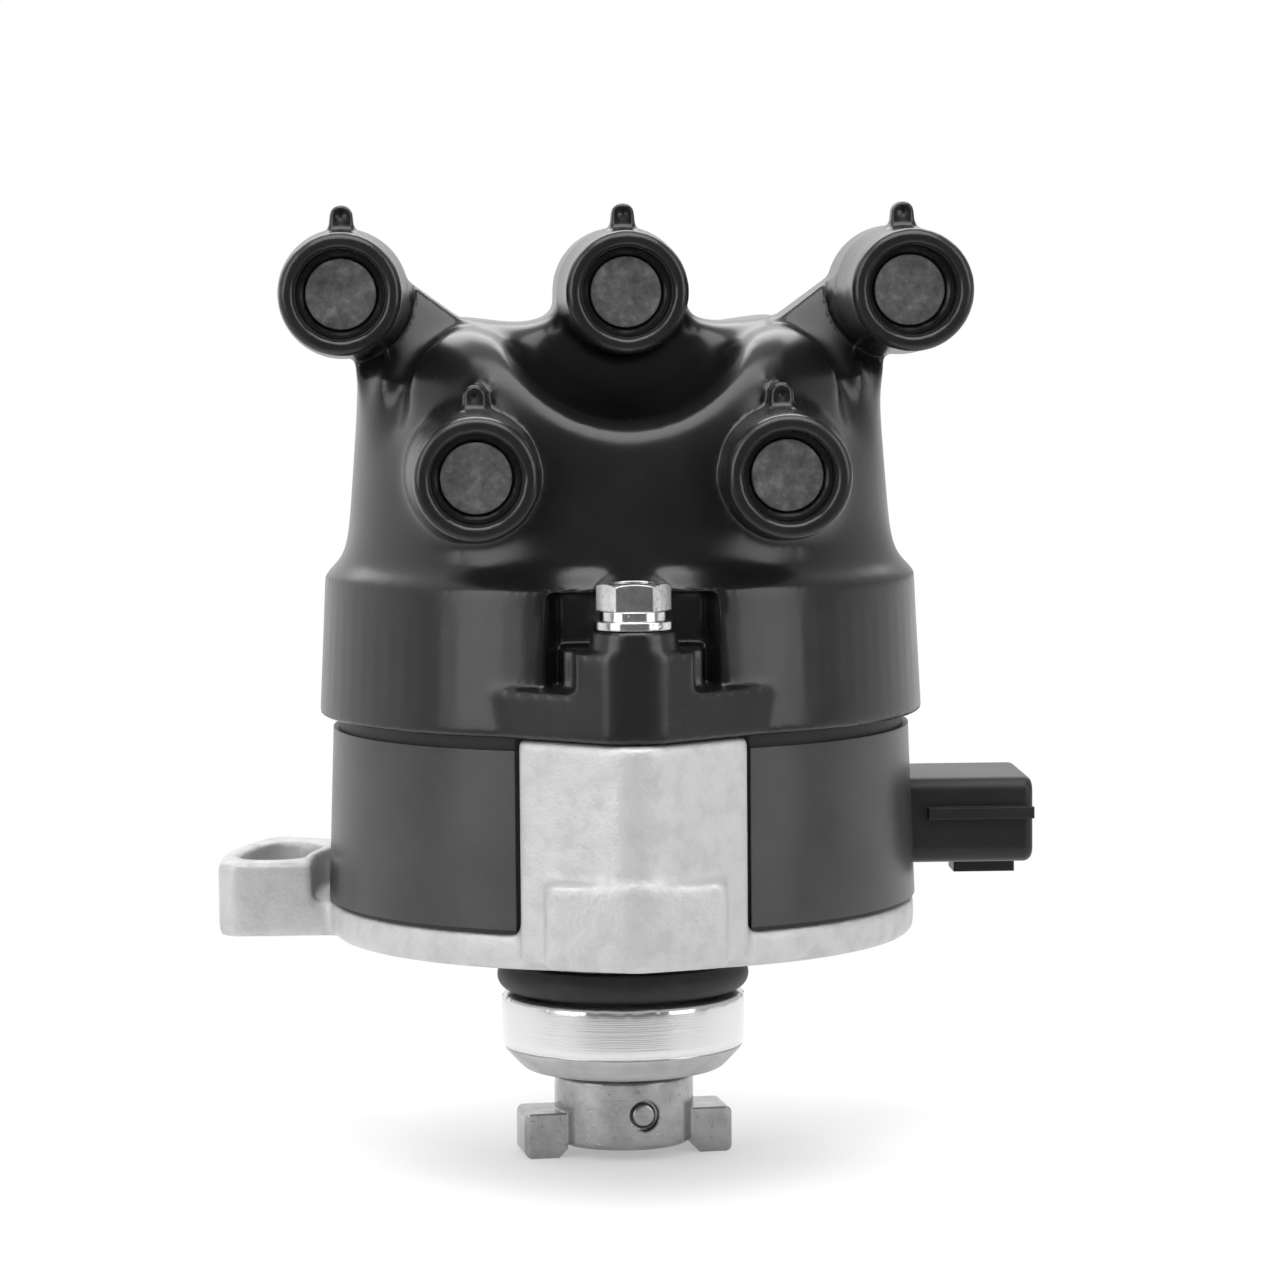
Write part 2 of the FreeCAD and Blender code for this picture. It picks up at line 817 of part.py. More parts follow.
def make_bearings():
    """The bush, the oil seal and the ball bearing that carry the shaft."""
    bush_bottom = "bush_inset - pilot_length"
    bush = tube(
        "shaft_bush",
        "shaft_radius + running_gap",
        "bush_radius",
        bush_bottom,
        "bush_inset + bush_length - pilot_length - press_gap",
    )
    seal = turned(
        "oil_seal",
        [
            ("seal_radius - seal_lead", "seal_bottom"),
            ("seal_radius", "seal_bottom + seal_lead / 2"),
            ("seal_radius", "seal_bottom + seal_width"),
            ("shaft_radius + 2 * seal_skin", "seal_bottom + seal_width"),
            ("shaft_radius + 2 * seal_skin", "seal_bottom + seal_web"),
            ("seal_radius - seal_skin", "seal_bottom + seal_web"),
            ("seal_radius - seal_skin", "seal_bottom + seal_skin"),
            ("shaft_radius + 1.5 * seal_lead", "seal_bottom + seal_skin"),
            ("shaft_radius + seal_lead", "seal_bottom + 2 * seal_skin"),
            ("shaft_radius + running_gap", "seal_bottom + seal_skin + seal_lead / 4"),
            ("shaft_radius + seal_lead", "seal_bottom"),
        ],
    )
    low = "bearing_floor + press_gap"
    high = "hub_top - press_gap"
    groove = "(ball_radius + ball_play)"
    lip = f"sqrt({groove} ^ 2 - (bearing_radius - race_thickness - ball_circle) ^ 2)"
    outer = turned(
        "bearing_outer_race",
        [
            ("bearing_radius", low),
            ("bearing_radius", high),
            ("bearing_radius - race_thickness", high),
            ("bearing_radius - race_thickness", f"ball_level + {lip}", groove, -1),
            ("bearing_radius - race_thickness", f"ball_level - {lip}"),
            ("bearing_radius - race_thickness", low),
        ],
    )
    inner = turned(
        "bearing_inner_race",
        [
            ("shaft_radius + press_gap", low),
            ("shaft_radius + race_thickness", low),
            ("shaft_radius + race_thickness", f"ball_level - {lip}", groove, -1),
            ("shaft_radius + race_thickness", f"ball_level + {lip}"),
            ("shaft_radius + race_thickness", high),
            ("shaft_radius + press_gap", high),
        ],
    )
    balls = []
    pockets = []
    for x, y in ring_places("ball_circle", "ball_count"):
        for items, name, radius in (
            (balls, "ball", "ball_radius"),
            (pockets, "pocket", "ball_radius + ball_play"),
        ):
            sphere = DOC.addObject("Part::Sphere", name)
            bind(sphere, Radius=radius)
            items.append(place(sphere, x, y, "ball_level"))
    cage_bottom = "ball_level - cage_height / 2"
    hoop = DOC.addObject("Part::Cut", "cage_hoop")
    hoop.Base = cylinder("cage_outside", "ball_circle + cage_thickness / 2", "cage_height", z=cage_bottom)
    hoop.Tool = cylinder("cage_inside", "ball_circle - cage_thickness / 2", "cage_height", z=cage_bottom)
    pocket_set = DOC.addObject("Part::MultiFuse", "cage_pockets")
    pocket_set.Shapes = pockets
    cage = DOC.addObject("Part::Cut", "bearing_cage")
    cage.Label = "bearing_cage"
    cage.Base = hoop
    cage.Tool = pocket_set
    return [bush.body, seal.body, outer.body, inner.body, group("bearing_balls", balls), cage]


def small_screw(name, x, y, seat, shank):
    """Make one small pan-head screw whose head sits at the height seat."""
    screw = Piece(name)
    screw.turn(
        screw.sketch(
            "XZ_Plane",
            [
                [
                    ("0", f"-{shank}"),
                    ("small_screw_radius", f"-{shank}"),
                    ("small_screw_radius", "0"),
                    ("small_head_radius", "0"),
                    ("small_head_radius", "small_head_height * 0.55"),
                    ("small_head_radius * 0.6", "small_head_height"),
                    ("0", "small_head_height"),
                ]
            ],
        )
    )
    place(screw.body, x, y, seat)
    return screw.body


def make_retainer():
    """The plate that keeps the ball bearing in its hub, with its screws."""
    plate = tube(
        "bearing_retainer",
        "retainer_bore",
        "hub_radius - seat_gap",
        "hub_top",
        "hub_top + retainer_thickness",
    )
    hole = ("retainer_screw_circle", "0", "small_screw_radius + press_gap")
    sketch = plate.sketch("XY_Plane", circles=[hole], at=("0", "0", "hub_top"))
    plate.repeat(plate.cut(sketch, "retainer_thickness", forwards=True), "retainer_screw_count")
    seat = "hub_top + retainer_thickness"
    shank = "(retainer_thickness + small_screw_length - seat_gap)"
    places = ring_places("retainer_screw_circle", "retainer_screw_count")
    screws = [small_screw("retainer_screw", x, y, seat, shank) for x, y in places]
    return [plate.body, group("retainer_screws", screws)]


def make_shaft():
    """The drive shaft with its shoulder, disc seat and flatted rotor spigot."""
    piece = turned(
        "drive_shaft",
        [
            ("0", "coupling_bottom + 1"),
            ("shaft_radius", "coupling_bottom + 1"),
            ("shaft_radius", "hub_top"),
            ("shoulder_radius", "hub_top"),
            ("shoulder_radius", "shoulder_top"),
            ("upper_shaft_radius", "shoulder_top"),
            ("upper_shaft_radius", "rotor_bottom"),
            ("spigot_radius", "rotor_bottom"),
            ("spigot_radius", "spigot_top - 0.6"),
            ("spigot_radius - 0.6", "spigot_top"),
            ("0", "spigot_top"),
        ],
    )
    flat = box("-spigot_radius", "spigot_flat", "spigot_radius", "spigot_radius + 1")
    flat = swung(flat, "(rotor_turn - coupling_turn)")
    piece.cut(
        piece.sketch("XY_Plane", [flat], at=("0", "0", "rotor_bottom")), "spigot_height", forwards=True
    )
    pin_hole = ("0", "pin_level", "pin_radius + press_gap")
    piece.cut(
        piece.sketch("XZ_Plane", circles=[pin_hole], at=("0", "0", "-shaft_radius - overrun")),
        "2 * (shaft_radius + overrun)",
        forwards=True,
    )
    piece.body.setExpression("Placement.Rotation.Angle", bound("coupling_turn"))
    DOC.recompute()
    return piece.body


def make_coupling():
    """The driven hub with two dogs, its cross pin and the washer above it."""
    bore = "(shaft_radius + press_gap)"
    hub = turned(
        "drive_coupling",
        [
            (bore, "coupling_bottom"),
            ("coupling_radius - coupling_chamfer", "coupling_bottom"),
            ("coupling_radius", "coupling_bottom + coupling_chamfer"),
            ("coupling_radius", "coupling_top - coupling_chamfer"),
            ("coupling_radius - coupling_chamfer", "coupling_top"),
            (bore, "coupling_top"),
        ],
    )
    turn = "(dog_turn - coupling_turn)"
    dogs = []
    for side in (-1, 1):
        inner = f"{side} * dog_inner_radius"
        outer = f"{side} * dog_span / 2"
        dogs.append(swung(box(inner, "-dog_width / 2", outer, "dog_width / 2"), turn))
    hub.grow(hub.sketch("XY_Plane", dogs, at=("0", "0", "coupling_bottom - dog_drop")), "dog_height")
    swing = math.radians(number(turn))

    def reach(middle):
        return abs(middle.x * math.cos(swing) + middle.y * math.sin(swing))

    def dog_end(edge, middle):
        return reach(middle) > number("dog_span / 2") - 0.01

    def dog_root(edge, middle):
        low = middle.z < number("coupling_bottom - dog_drop") + 0.01
        return low and reach(middle) < number("dog_inner_radius") + 0.01

    hub.soften(dog_end, "dog_round")
    hub.soften(dog_root, "dog_bevel", "Chamfer")
    pin_hole = ("0", "pin_level", "pin_radius + press_gap")
    hub.cut(
        hub.sketch("XZ_Plane", circles=[pin_hole], at=("0", "0", "-coupling_radius - overrun")),
        "2 * (coupling_radius + overrun)",
        forwards=True,
    )
    sink = ("0", "pin_level", "pin_radius + pin_sink")
    for side in (-1, 1):
        at = ("0", "0", f"{side} * (coupling_radius - pin_recess)")
        hub.cut(hub.sketch("XZ_Plane", circles=[sink], at=at), "2", forwards=side > 0)
    pin = Piece("coupling_pin")
    length = "(2 * (coupling_radius - pin_inset))"
    pin.grow(
        pin.sketch("XZ_Plane", circles=[("0", "pin_level", "pin_radius")], at=("0", "0", f"-{length} / 2")),
        length,
    )
    pin.soften(lambda edge, middle: True, "pin_inset", "Chamfer")
    for body in (hub.body, pin.body):
        body.setExpression("Placement.Rotation.Angle", bound("coupling_turn"))
    washer = tube(
        "thrust_washer",
        "shaft_radius + running_gap",
        "coupling_radius",
        "-pilot_length - thrust_washer_thickness - seat_gap / 2",
        "-pilot_length - seat_gap / 2",
    )
    DOC.recompute()
    return [hub.body, pin.body, washer.body]


def make_ring():
    """The moulded middle ring, notched for the bosses, with posts for the dust cover."""
    piece = turned(
        "sensor_ring",
        [
            ("0", "ring_bottom"),
            ("ring_bottom_radius", "ring_bottom"),
            ("ring_top_radius", "ring_top"),
            ("0", "ring_top"),
        ],
    )
    cavity = flatted_circle("ring_inner_radius", "ring_flat")
    piece.cut(piece.sketch("XY_Plane", [cavity], at=("0", "0", "ring_top")), "ring_height - ring_floor")
    hole = ("0", "0", "hub_radius + hub_clearance")
    piece.cut(piece.sketch("XY_Plane", circles=[hole], at=("0", "0", "ring_deck")), "ring_floor")
    piece.cut(piece.sketch("XY_Plane", boss_notches(), at=("0", "0", "ring_top")), "ring_height")
    places = ring_places("post_circle", "post_count", 0.5)
    posts = [(x, y, "post_radius") for x, y in places]
    piece.grow(
        piece.sketch("XY_Plane", circles=posts, at=("0", "0", "ring_deck")), "cover_bottom - ring_deck"
    )
    holes = [(x, y, "small_screw_radius + press_gap") for x, y in places]
    piece.cut(piece.sketch("XY_Plane", circles=holes, at=("0", "0", "cover_bottom")), "small_screw_length")
    window = rounded_box(
        "plug_front - mould_gap",
        "plug_bottom - mould_gap",
        "plug_front + plug_width + mould_gap",
        "plug_top + mould_gap",
        "(plug_corner + mould_gap)",
    )
    through_wall = "ring_bottom_radius + overrun - plug_root"
    piece.cut(piece.sketch("YZ_Plane", [window], at=("0", "0", "plug_root")), through_wall, forwards=True)
    places = pickup_screw_places() + module_screw_places()
    holes = [(x, y, "small_screw_radius + press_gap") for x, y in places]
    piece.cut(piece.sketch("XY_Plane", circles=holes, at=("0", "0", "ring_deck")), "blind_depth")
    return piece.body


def make_connector():
    """The black plug socket that is set into the ring's right side, with its terminals."""
    shell = Piece("connector_shell")
    outline = rounded_box(
        "plug_front", "plug_bottom", "plug_front + plug_width", "plug_top", "plug_corner"
    )
    shell.grow(
        shell.sketch("YZ_Plane", [outline], at=("0", "0", "plug_root + press_gap")),
        "plug_reach - plug_root - press_gap",
    )
    shell.soften(lambda edge, middle: middle.x > number("plug_reach") - 0.01, "plug_nose_round")
    mouth = rounded_box(
        "plug_front + plug_wall",
        "plug_bottom + plug_wall",
        "plug_front + plug_width - plug_wall",
        "plug_top - plug_wall",
        "(plug_corner - plug_wall)",
    )
    shell.cut(
        shell.sketch("YZ_Plane", [mouth], at=("0", "0", "plug_reach")), "plug_reach - plug_floor"
    )
    rib_bottom = "(plug_bottom + rib_rise)"
    rib = box("plug_front - rib_proud", rib_bottom, "plug_front", f"{rib_bottom} + rib_height")
    shell.grow(
        shell.sketch("YZ_Plane", [rib], at=("0", "0", "ring_bottom_radius + rib_gap")),
        "plug_reach - ring_bottom_radius - rib_gap",
    )
    latch = box(
        "plug_reach - latch_setback - latch_length",
        "plug_middle - latch_width / 2",
        "plug_reach - latch_setback",
        "plug_middle + latch_width / 2",
    )
    shell.grow(
        shell.sketch("XY_Plane", [latch], at=("0", "0", "plug_bottom")), "latch_height", backwards=True
    )
    terminals = []
    openings = []
    half = "terminal_width / 2"
    for index in range(int(SIZES["terminal_count"])):
        y = f"(plug_middle + ({index} - (terminal_count - 1) / 2) * terminal_pitch)"
        openings.append(
            box(
                f"{y} - {half} - press_gap",
                f"plug_level - {half} - press_gap",
                f"{y} + {half} + press_gap",
                f"plug_level + {half} + press_gap",
            )
        )
        blade = DOC.addObject("Part::Box", "terminal")
        bind(
            blade,
            Length="terminal_tail + plug_floor - plug_root + terminal_reach",
            Width="terminal_width",
            Height="terminal_width",
        )
        place(blade, "plug_root - terminal_tail", f"{y} - {half}", f"plug_level - {half}")
        terminals.append(blade)
    shell.cut(
        shell.sketch("YZ_Plane", openings, at=("0", "0", "plug_root")),
        "plug_floor - plug_root + 1",
        forwards=True,
    )
    return [shell.body, group("connector_terminals", terminals)]


def seal_ring(label, outer, bottom, top):
    """Make a flat rubber ring that is notched for the two screw bosses."""
    piece = tube(label, f"{outer} - gasket_land", outer, bottom, top)
    piece.cut(piece.sketch("XY_Plane", boss_notches(), at=("0", "0", top)), f"{top} - ({bottom})")
    return piece.body


def make_disc():
    """The thin trigger disc, with one window for each cylinder and a row of slits, and its collar."""
    disc = tube("trigger_disc", "upper_shaft_radius + press_gap", "disc_radius", "shoulder_top", "disc_top")
    window = box(
        "window_radius - window_width / 2",
        "-window_length / 2",
        "window_radius + window_width / 2",
        "window_length / 2",
    )
    cut = disc.cut(disc.sketch("XY_Plane", [window], at=("0", "0", "disc_top")), "disc_thickness")
    disc.repeat(cut, "window_count")
    slit = box(
        "disc_radius - slit_inset - slit_length",
        "-slit_width / 2",
        "disc_radius - slit_inset",
        "slit_width / 2",
    )
    cut = disc.cut(disc.sketch("XY_Plane", [slit], at=("0", "0", "disc_top")), "disc_thickness")
    disc.repeat(cut, "slit_count")
    collar = tube(
        "disc_collar", "upper_shaft_radius + press_gap", "shoulder_radius", "disc_top", "collar_top"
    )
    return [disc.body, collar.body]


def pickup_screw_places():
    """Return the places of the two screws that hold the pickup."""
    x = "-(pickup_foot_inner + pickup_outer) / 2"
    return [(x, "-pickup_screw_spread"), (x, "pickup_screw_spread")]


def module_screw_places():
    """Return the places of the two screws that hold the ignition module."""
    y = "-(ring_flat - cover_gap - module_tab_depth / 2)"
    spread = "(module_width / 2 + module_screw_spread / 2)"
    return [(f"-{spread}", y), (spread, y)]


def make_pickup():
    """The optical pickup: a block on a foot, slotted so that the disc's rim runs through it."""
    piece = Piece("optical_pickup")
    block = box("-pickup_outer", "-pickup_width / 2", "-pickup_inner", "pickup_width / 2")
    piece.grow(piece.sketch("XY_Plane", [block], at=("0", "0", "ring_deck")), "pickup_height")
    foot = box("-pickup_outer + 2", "-pickup_foot_width / 2", "-pickup_foot_inner", "pickup_foot_width / 2")
    piece.grow(piece.sketch("XY_Plane", [foot], at=("0", "0", "ring_deck")), "pickup_foot_thickness")
    disc_middle = "(shoulder_top + disc_thickness / 2)"
    slot = box(
        "-disc_radius - pickup_back",
        f"{disc_middle} - pickup_slot / 2",
        "-pickup_inner + overrun",
        f"{disc_middle} + pickup_slot / 2",
    )
    piece.cut(
        piece.sketch("XZ_Plane", [slot], at=("0", "0", "-pickup_width / 2 - overrun")),
        "pickup_width + 2 * overrun",
        forwards=True,
    )
    for x, y in pickup_screw_places():
        hole = (x, y, "small_screw_radius + press_gap")
        piece.cut(
            piece.sketch("XY_Plane", circles=[hole], at=("0", "0", "ring_deck")),
            "pickup_foot_thickness",
            forwards=True,
        )
    screws = [
        small_screw(
            "pickup_screw",
            x,
            y,
            "ring_deck + pickup_foot_thickness",
            "(pickup_foot_thickness + blind_depth - seat_gap)",
        )
        for x, y in pickup_screw_places()
    ]
    return [piece.body, group("pickup_screws", screws)]


def make_module():
    """The ignition module: a flat block with a screw tab at each end, below the disc."""
    piece = Piece("ignition_module")
    outer = "-(ring_flat - cover_gap)"
    block = box("-module_width / 2", outer, "module_width / 2", "-module_inner")
    piece.grow(piece.sketch("XY_Plane", [block], at=("0", "0", "ring_deck")), "module_height")
    half = "(module_width / 2 + module_screw_spread)"
    tabs = box(f"-{half}", outer, half, f"{outer} + module_tab_depth")
    piece.grow(piece.sketch("XY_Plane", [tabs], at=("0", "0", "ring_deck")), "module_tab_thickness")
    for x, y in module_screw_places():
        hole = (x, y, "small_screw_radius + press_gap")
        piece.cut(
            piece.sketch("XY_Plane", circles=[hole], at=("0", "0", "ring_deck")),
            "module_tab_thickness",
            forwards=True,
        )
    screws = [
        small_screw(
            "module_screw",
            x,
            y,
            "ring_deck + module_tab_thickness",
            "(module_tab_thickness + blind_depth - seat_gap)",
        )
        for x, y in module_screw_places()
    ]
    return [piece.body, group("module_screws", screws)]


def make_cover():
    """The dust cover on the ring's posts, with a lip round the shaft and its screws."""
    piece = Piece("dust_cover")
    plan = flatted_circle("(ring_inner_radius - cover_gap)", "(ring_flat - cover_gap)")
    piece.grow(piece.sketch("XY_Plane", [plan], at=("0", "0", "cover_bottom")), "cover_thickness")
    lip = ("0", "0", "cover_bore + cover_lip")
    piece.grow(piece.sketch("XY_Plane", circles=[lip], at=("0", "0", "cover_top")), "cover_lip_height")
    bore = ("0", "0", "cover_bore")
    piece.cut(
        piece.sketch("XY_Plane", circles=[bore], at=("0", "0", "cover_bottom")),
        "cover_thickness + cover_lip_height",
        forwards=True,
    )
    places = ring_places("post_circle", "post_count", 0.5)
    holes = [(x, y, "small_screw_radius + press_gap") for x, y in places]
    piece.cut(
        piece.sketch("XY_Plane", circles=holes, at=("0", "0", "cover_bottom")),
        "cover_thickness",
        forwards=True,
    )
    shank = "(cover_thickness + small_screw_length - seat_gap)"
    screws = [small_screw("cover_screw", x, y, "cover_top", shank) for x, y in places]
    return [piece.body, group("cover_screws", screws)]


def make_rotor():
    """The rotor arm that pushes onto the flatted spigot, and the brass strip along its top."""
    piece = turned(
        "rotor_arm",
        [
            ("0", "rotor_bottom"),
            ("rotor_hub_radius", "rotor_bottom"),
            ("rotor_hub_radius", "rotor_bottom + rotor_skirt_height"),
            ("rotor_skirt_radius", "rotor_bottom + rotor_skirt_height"),
            ("rotor_skirt_radius", "rotor_bottom + rotor_skirt_height + rotor_skirt_thickness"),
            ("rotor_hub_radius", "rotor_bottom + rotor_skirt_height + rotor_skirt_thickness"),
            ("rotor_hub_radius", "rotor_top"),
            ("0", "rotor_top"),
        ],
    )
    arm = box("-rotor_tail", "-rotor_arm_width / 2", "contact_reach - 2", "rotor_arm_width / 2")
    piece.grow(
        piece.sketch("XY_Plane", [arm], at=("0", "0", "rotor_bottom + rotor_skirt_height")),
        "rotor_height - rotor_skirt_height",
    )
    half = "(spigot_radius + press_gap)"
    flat = "(spigot_flat + press_gap)"
    chord = f"sqrt({half} ^ 2 - {flat} ^ 2)"
    bore = [
        (half, "0", half, 1),
        (chord, flat),
        (f"-{chord}", flat, half, 1),
        (f"-{half}", "0", half, 1),
        ("0", f"-{half}", half, 1),
    ]
    piece.cut(
        piece.sketch("XY_Plane", [bore], at=("0", "0", "rotor_bottom")),
        "spigot_height + seat_gap",
        forwards=True,
    )
    strip = Piece("rotor_contact")
    plan = box("-contact_tail", "-contact_width / 2", "contact_reach", "contact_width / 2")
    strip.grow(strip.sketch("XY_Plane", [plan], at=("0", "0", "rotor_top")), "contact_thickness")
    for body in (piece.body, strip.body):
        body.setExpression("Placement.Rotation.Angle", bound("rotor_turn"))
    return [piece.body, strip.body]


def rod(points, radius):
    """Return a rod along straight runs between points given as expressions, with round joints."""
    places = [FreeCAD.Vector(*(number(text) for text in point)) for point in points]
    size = number(radius)
    shape = None
    for start, end in zip(places, places[1:]):
        run = Part.makeCylinder(size, (end - start).Length, start, end - start)
        shape = run if shape is None else shape.fuse(run)
    for corner in places[1:-1]:
        shape = shape.fuse(Part.makeSphere(size, corner))
    return shape


def conductor(side, tower, extra):
    """Return the solid of one tower's contact, grown by extra so that it can also cut its bed."""
    grow = f" + {extra}"
    if tower == "centre":
        x = "0"
        level = "upper_tower_height"
        face = "upper_tower_face"
        route = [(x, "0", level), (x, "0", f"guide_roof - {extra}")]
    elif tower == "lower":
        x = f"{side} * lower_tower_spread"
        level = "lower_tower_height"
        face = "lower_tower_face"
        route = [
            (x, "-electrode_spread", level),
            (x, "-electrode_spread", "electrode_tip_height + electrode_overlap"),
        ]
    else:
        x = f"{side} * upper_tower_spread"
        level = "upper_tower_height"
        face = "upper_tower_face"
        inner = f"{side} * electrode_spread"
        route = [
            (x, "-conductor_cross", level),
            (inner, "-conductor_cross", "conductor_height"),
            (inner, "electrode_spread", "conductor_height"),
            (inner, "electrode_spread", "electrode_tip_height + electrode_overlap"),
        ]
    disc_front = f"(socket_depth - {face})"
    disc_back = f"({disc_front} + contact_disc_thickness)"
    shape = rod([(x, disc_back, level)] + route, "conductor_radius" + grow)
    disc = Part.makeCylinder(
        number("contact_radius" + grow),
        number(f"contact_disc_thickness + {extra}"),
        FreeCAD.Vector(number(x), number(disc_front), number(level)),
        FreeCAD.Vector(0, 1, 0),
    )
    shape = shape.fuse(disc)
    if tower != "centre":
        end = route[-1]
        post = Part.makeCylinder(
            number("electrode_radius" + grow),
            number(f"electrode_bare + 1 + {extra}"),
            FreeCAD.Vector(number(end[0]), number(end[1]), number("electrode_tip_height")),
        )
        shape = shape.fuse(post)
    return shape.removeSplitter()


TOWERS = {
    "contact_centre": ("0", "centre"),
    "contact_upper_left": ("-1", "upper"),
    "contact_upper_right": ("1", "upper"),
    "contact_lower_left": ("-1", "lower"),
    "contact_lower_right": ("1", "lower"),
}


def make_contacts():
    """The five contacts that are moulded into the cap, and the solids that cut their beds."""
    contacts = []
    beds = []
    for label, (side, tower) in TOWERS.items():
        for items, name, extra in ((contacts, label, "0"), (beds, label + "_bed", "mould_gap")):
            solid = DOC.addObject("Part::Feature", name)
            solid.Label = name
            solid.Shape = conductor(side, tower, extra)
            solid.Placement = FreeCAD.Placement()
            items.append(solid)
    return contacts, beds


def tower_outline(face, back, root_boss):
    """Return the half section of a tower, in its own (radius, Y) frame, from face to back."""
    corners = [
        ("0", f"-{face}"),
        ("tower_radius - tower_edge", f"-{face}"),
        ("tower_radius", f"-{face} + tower_edge"),
        ("tower_radius", f"-{face} + tower_grip"),
    ]
    root = f"(tower_length - {face})"
    if root_boss:
        corners += [
            ("tower_root_radius", f"{root} - root_boss_length"),
            ("root_boss_radius", root),
            ("root_boss_radius", back),
        ]
    else:
        corners += [
            ("tower_root_radius", root),
            ("tower_root_radius", f"{back} - tower_back_round", "tower_back_round", 1),
            ("tower_root_radius - tower_back_round", back),
        ]
    return corners + [("0", back)]


def add_tower(cap, x, level, face, back, root_boss):
    """Add one lead tower that faces -Y."""
    outline = tower_outline(face, back, root_boss)
    cap.turn(cap.sketch("XY_Plane", [outline], at=(x, "0", level)))


def tab_arch(x, level):
    """Return the outline of the key tab on top of a tower."""
    foot = f"({level} + tower_radius - tab_foot)"
    top = f"({level} + tower_root_radius + tab_height)"
    half = "tab_width / 2"
    return [
        (f"{x} - {half} - tab_foot / 2", foot),
        (f"{x} + {half} + tab_foot / 2", foot),
        (f"{x} + {half}", f"{foot} + 2 * tab_foot"),
        (f"{x} + {half}", f"{top} - {half}", half, 1),
        (x, top, half, 1),
        (f"{x} - {half}", f"{top} - {half}"),
        (f"{x} - {half}", f"{foot} + 2 * tab_foot"),
    ]


def add_tabs(cap, places, level, face):
    """Add the key tabs of a row of towers, each with a small blind hole in its front."""
    front = f"({face} - tab_setback)"
    tabs = [tab_arch(x, level) for x in places]
    cap.grow(cap.sketch("XZ_Plane", tabs, at=("0", "0", front)), "tab_length", backwards=True)
    recess = f"{level} + tower_root_radius + tab_height - tab_width / 2"
    holes = [(x, recess, "tab_recess_radius") for x in places]
    cap.cut(cap.sketch("XZ_Plane", circles=holes, at=("0", "0", front)), "tab_recess_depth")


def add_dome(cap):
    """Add the turned skirt, shoulder and dome, as a solid."""
    cap.turn(
        cap.sketch(
            "XZ_Plane",
            [
                [
                    ("0", "cap_bottom"),
                    ("skirt_bottom_radius", "cap_bottom"),
                    ("skirt_top_radius", "skirt_top"),
                    ("dome_radius", "dome_bottom"),
                    ("dome_top_radius", "dome_wall_top", "crown_round", 1),
                    ("crown_radius", "crown_edge"),
                    ("0", "crown_top"),
                ]
            ],
        )
    )


def shape_dome_front(cap):
    """Cut the front of the dome down to two lobes with a scoop between them."""
    scoop_edge = "sqrt(scoop_radius ^ 2 - (upper_tower_height - crown_edge) ^ 2)"
    scoop_low = "(upper_tower_height - scoop_radius)"
    away = "(dome_radius + overrun)"
    shoulder = "(lobe_top - lobe_round)"
    outline = [
        (f"-{away}", "lobe_floor"),
        ("-lobe_half_width", "lobe_floor"),
        ("-lobe_half_width", shoulder, "lobe_round", -1),
        ("lobe_round - lobe_half_width", "lobe_top"),
        (f"-{scoop_edge}", "lobe_top"),
        (f"-{scoop_edge}", "crown_edge", "scoop_radius", 1),
        ("0", scoop_low, "scoop_radius", 1),
        (scoop_edge, "crown_edge"),
        (scoop_edge, "lobe_top"),
        ("lobe_half_width - lobe_round", "lobe_top", "lobe_round", -1),
        ("lobe_half_width", shoulder),
        ("lobe_half_width", "lobe_floor"),
        (away, "lobe_floor"),
        (away, "crown_top + overrun"),
        (f"-{away}", "crown_top + overrun"),
    ]
    cap.cut(cap.sketch("XZ_Plane", [outline], at=("0", "0", "lobe_plane")), "dome_radius", forwards=True)


def add_arms(cap):
    """Add the webs and pillars that carry the two outer towers, and the ribs over their conductors."""
    arms = [
        [
            (f"{side} * arm_outer", "arm_outer_height"),
            (f"{side} * arm_inner", "arm_inner_height"),
            (f"{side} * arm_inner", "arm_foot"),
            (f"{side} * arm_toe", "arm_foot"),
        ]
        for side in (-1, 1)
    ]
    cap.grow(cap.sketch("XZ_Plane", arms, at=("0", "0", "lobe_plane")), "arm_depth", backwards=True)
    pillars = [
        [
            (f"{side} * (dome_top_radius + arm_inset)", "upper_tower_height"),
            (f"{side} * pillar_inner", "upper_tower_height"),
            (f"{side} * arm_toe", "arm_foot"),
            (f"{side} * pillar_inner", "pillar_foot"),
            (f"{side} * (dome_top_radius - arm_inset)", "pillar_foot"),
        ]
        for side in (-1, 1)
    ]
    pillar_depth = "arm_depth - lobe_plane + pillar_front"
    cap.grow(cap.sketch("XZ_Plane", pillars, at=("0", "0", "pillar_front")), pillar_depth, backwards=True)
    ribs = [
        box(
            f"{side} * (electrode_spread - rib_half_width)",
            "arm_inset - lobe_plane",
            f"{side} * (electrode_spread + rib_half_width)",
            "rib_back",
        )
        for side in (-1, 1)
    ]
    cap.grow(cap.sketch("XY_Plane", ribs, at=("0", "0", "rib_foot")), "rib_top - rib_foot")


def add_hump(cap):
    """Add the hump that carries the centre tower back over the crown."""
    half = "tower_root_radius"
    foot = "(tower_root_radius + hump_round)"
    bend = "(crown_edge + hump_round)"
    outline = [
        (f"-{foot}", "hump_foot"),
        (foot, "hump_foot"),
        (foot, "crown_edge", "hump_round", -1),
        (half, bend),
        (half, "upper_tower_height", "tower_root_radius", 1),
        ("0", "upper_tower_height + tower_root_radius", "tower_root_radius", 1),
        (f"-{half}", "upper_tower_height"),
        (f"-{half}", bend, "hump_round", -1),
        (f"-{foot}", "crown_edge"),
    ]
    cap.grow(cap.sketch("XZ_Plane", [outline], at=("0", "0", "lobe_plane")), "hump_depth", backwards=True)


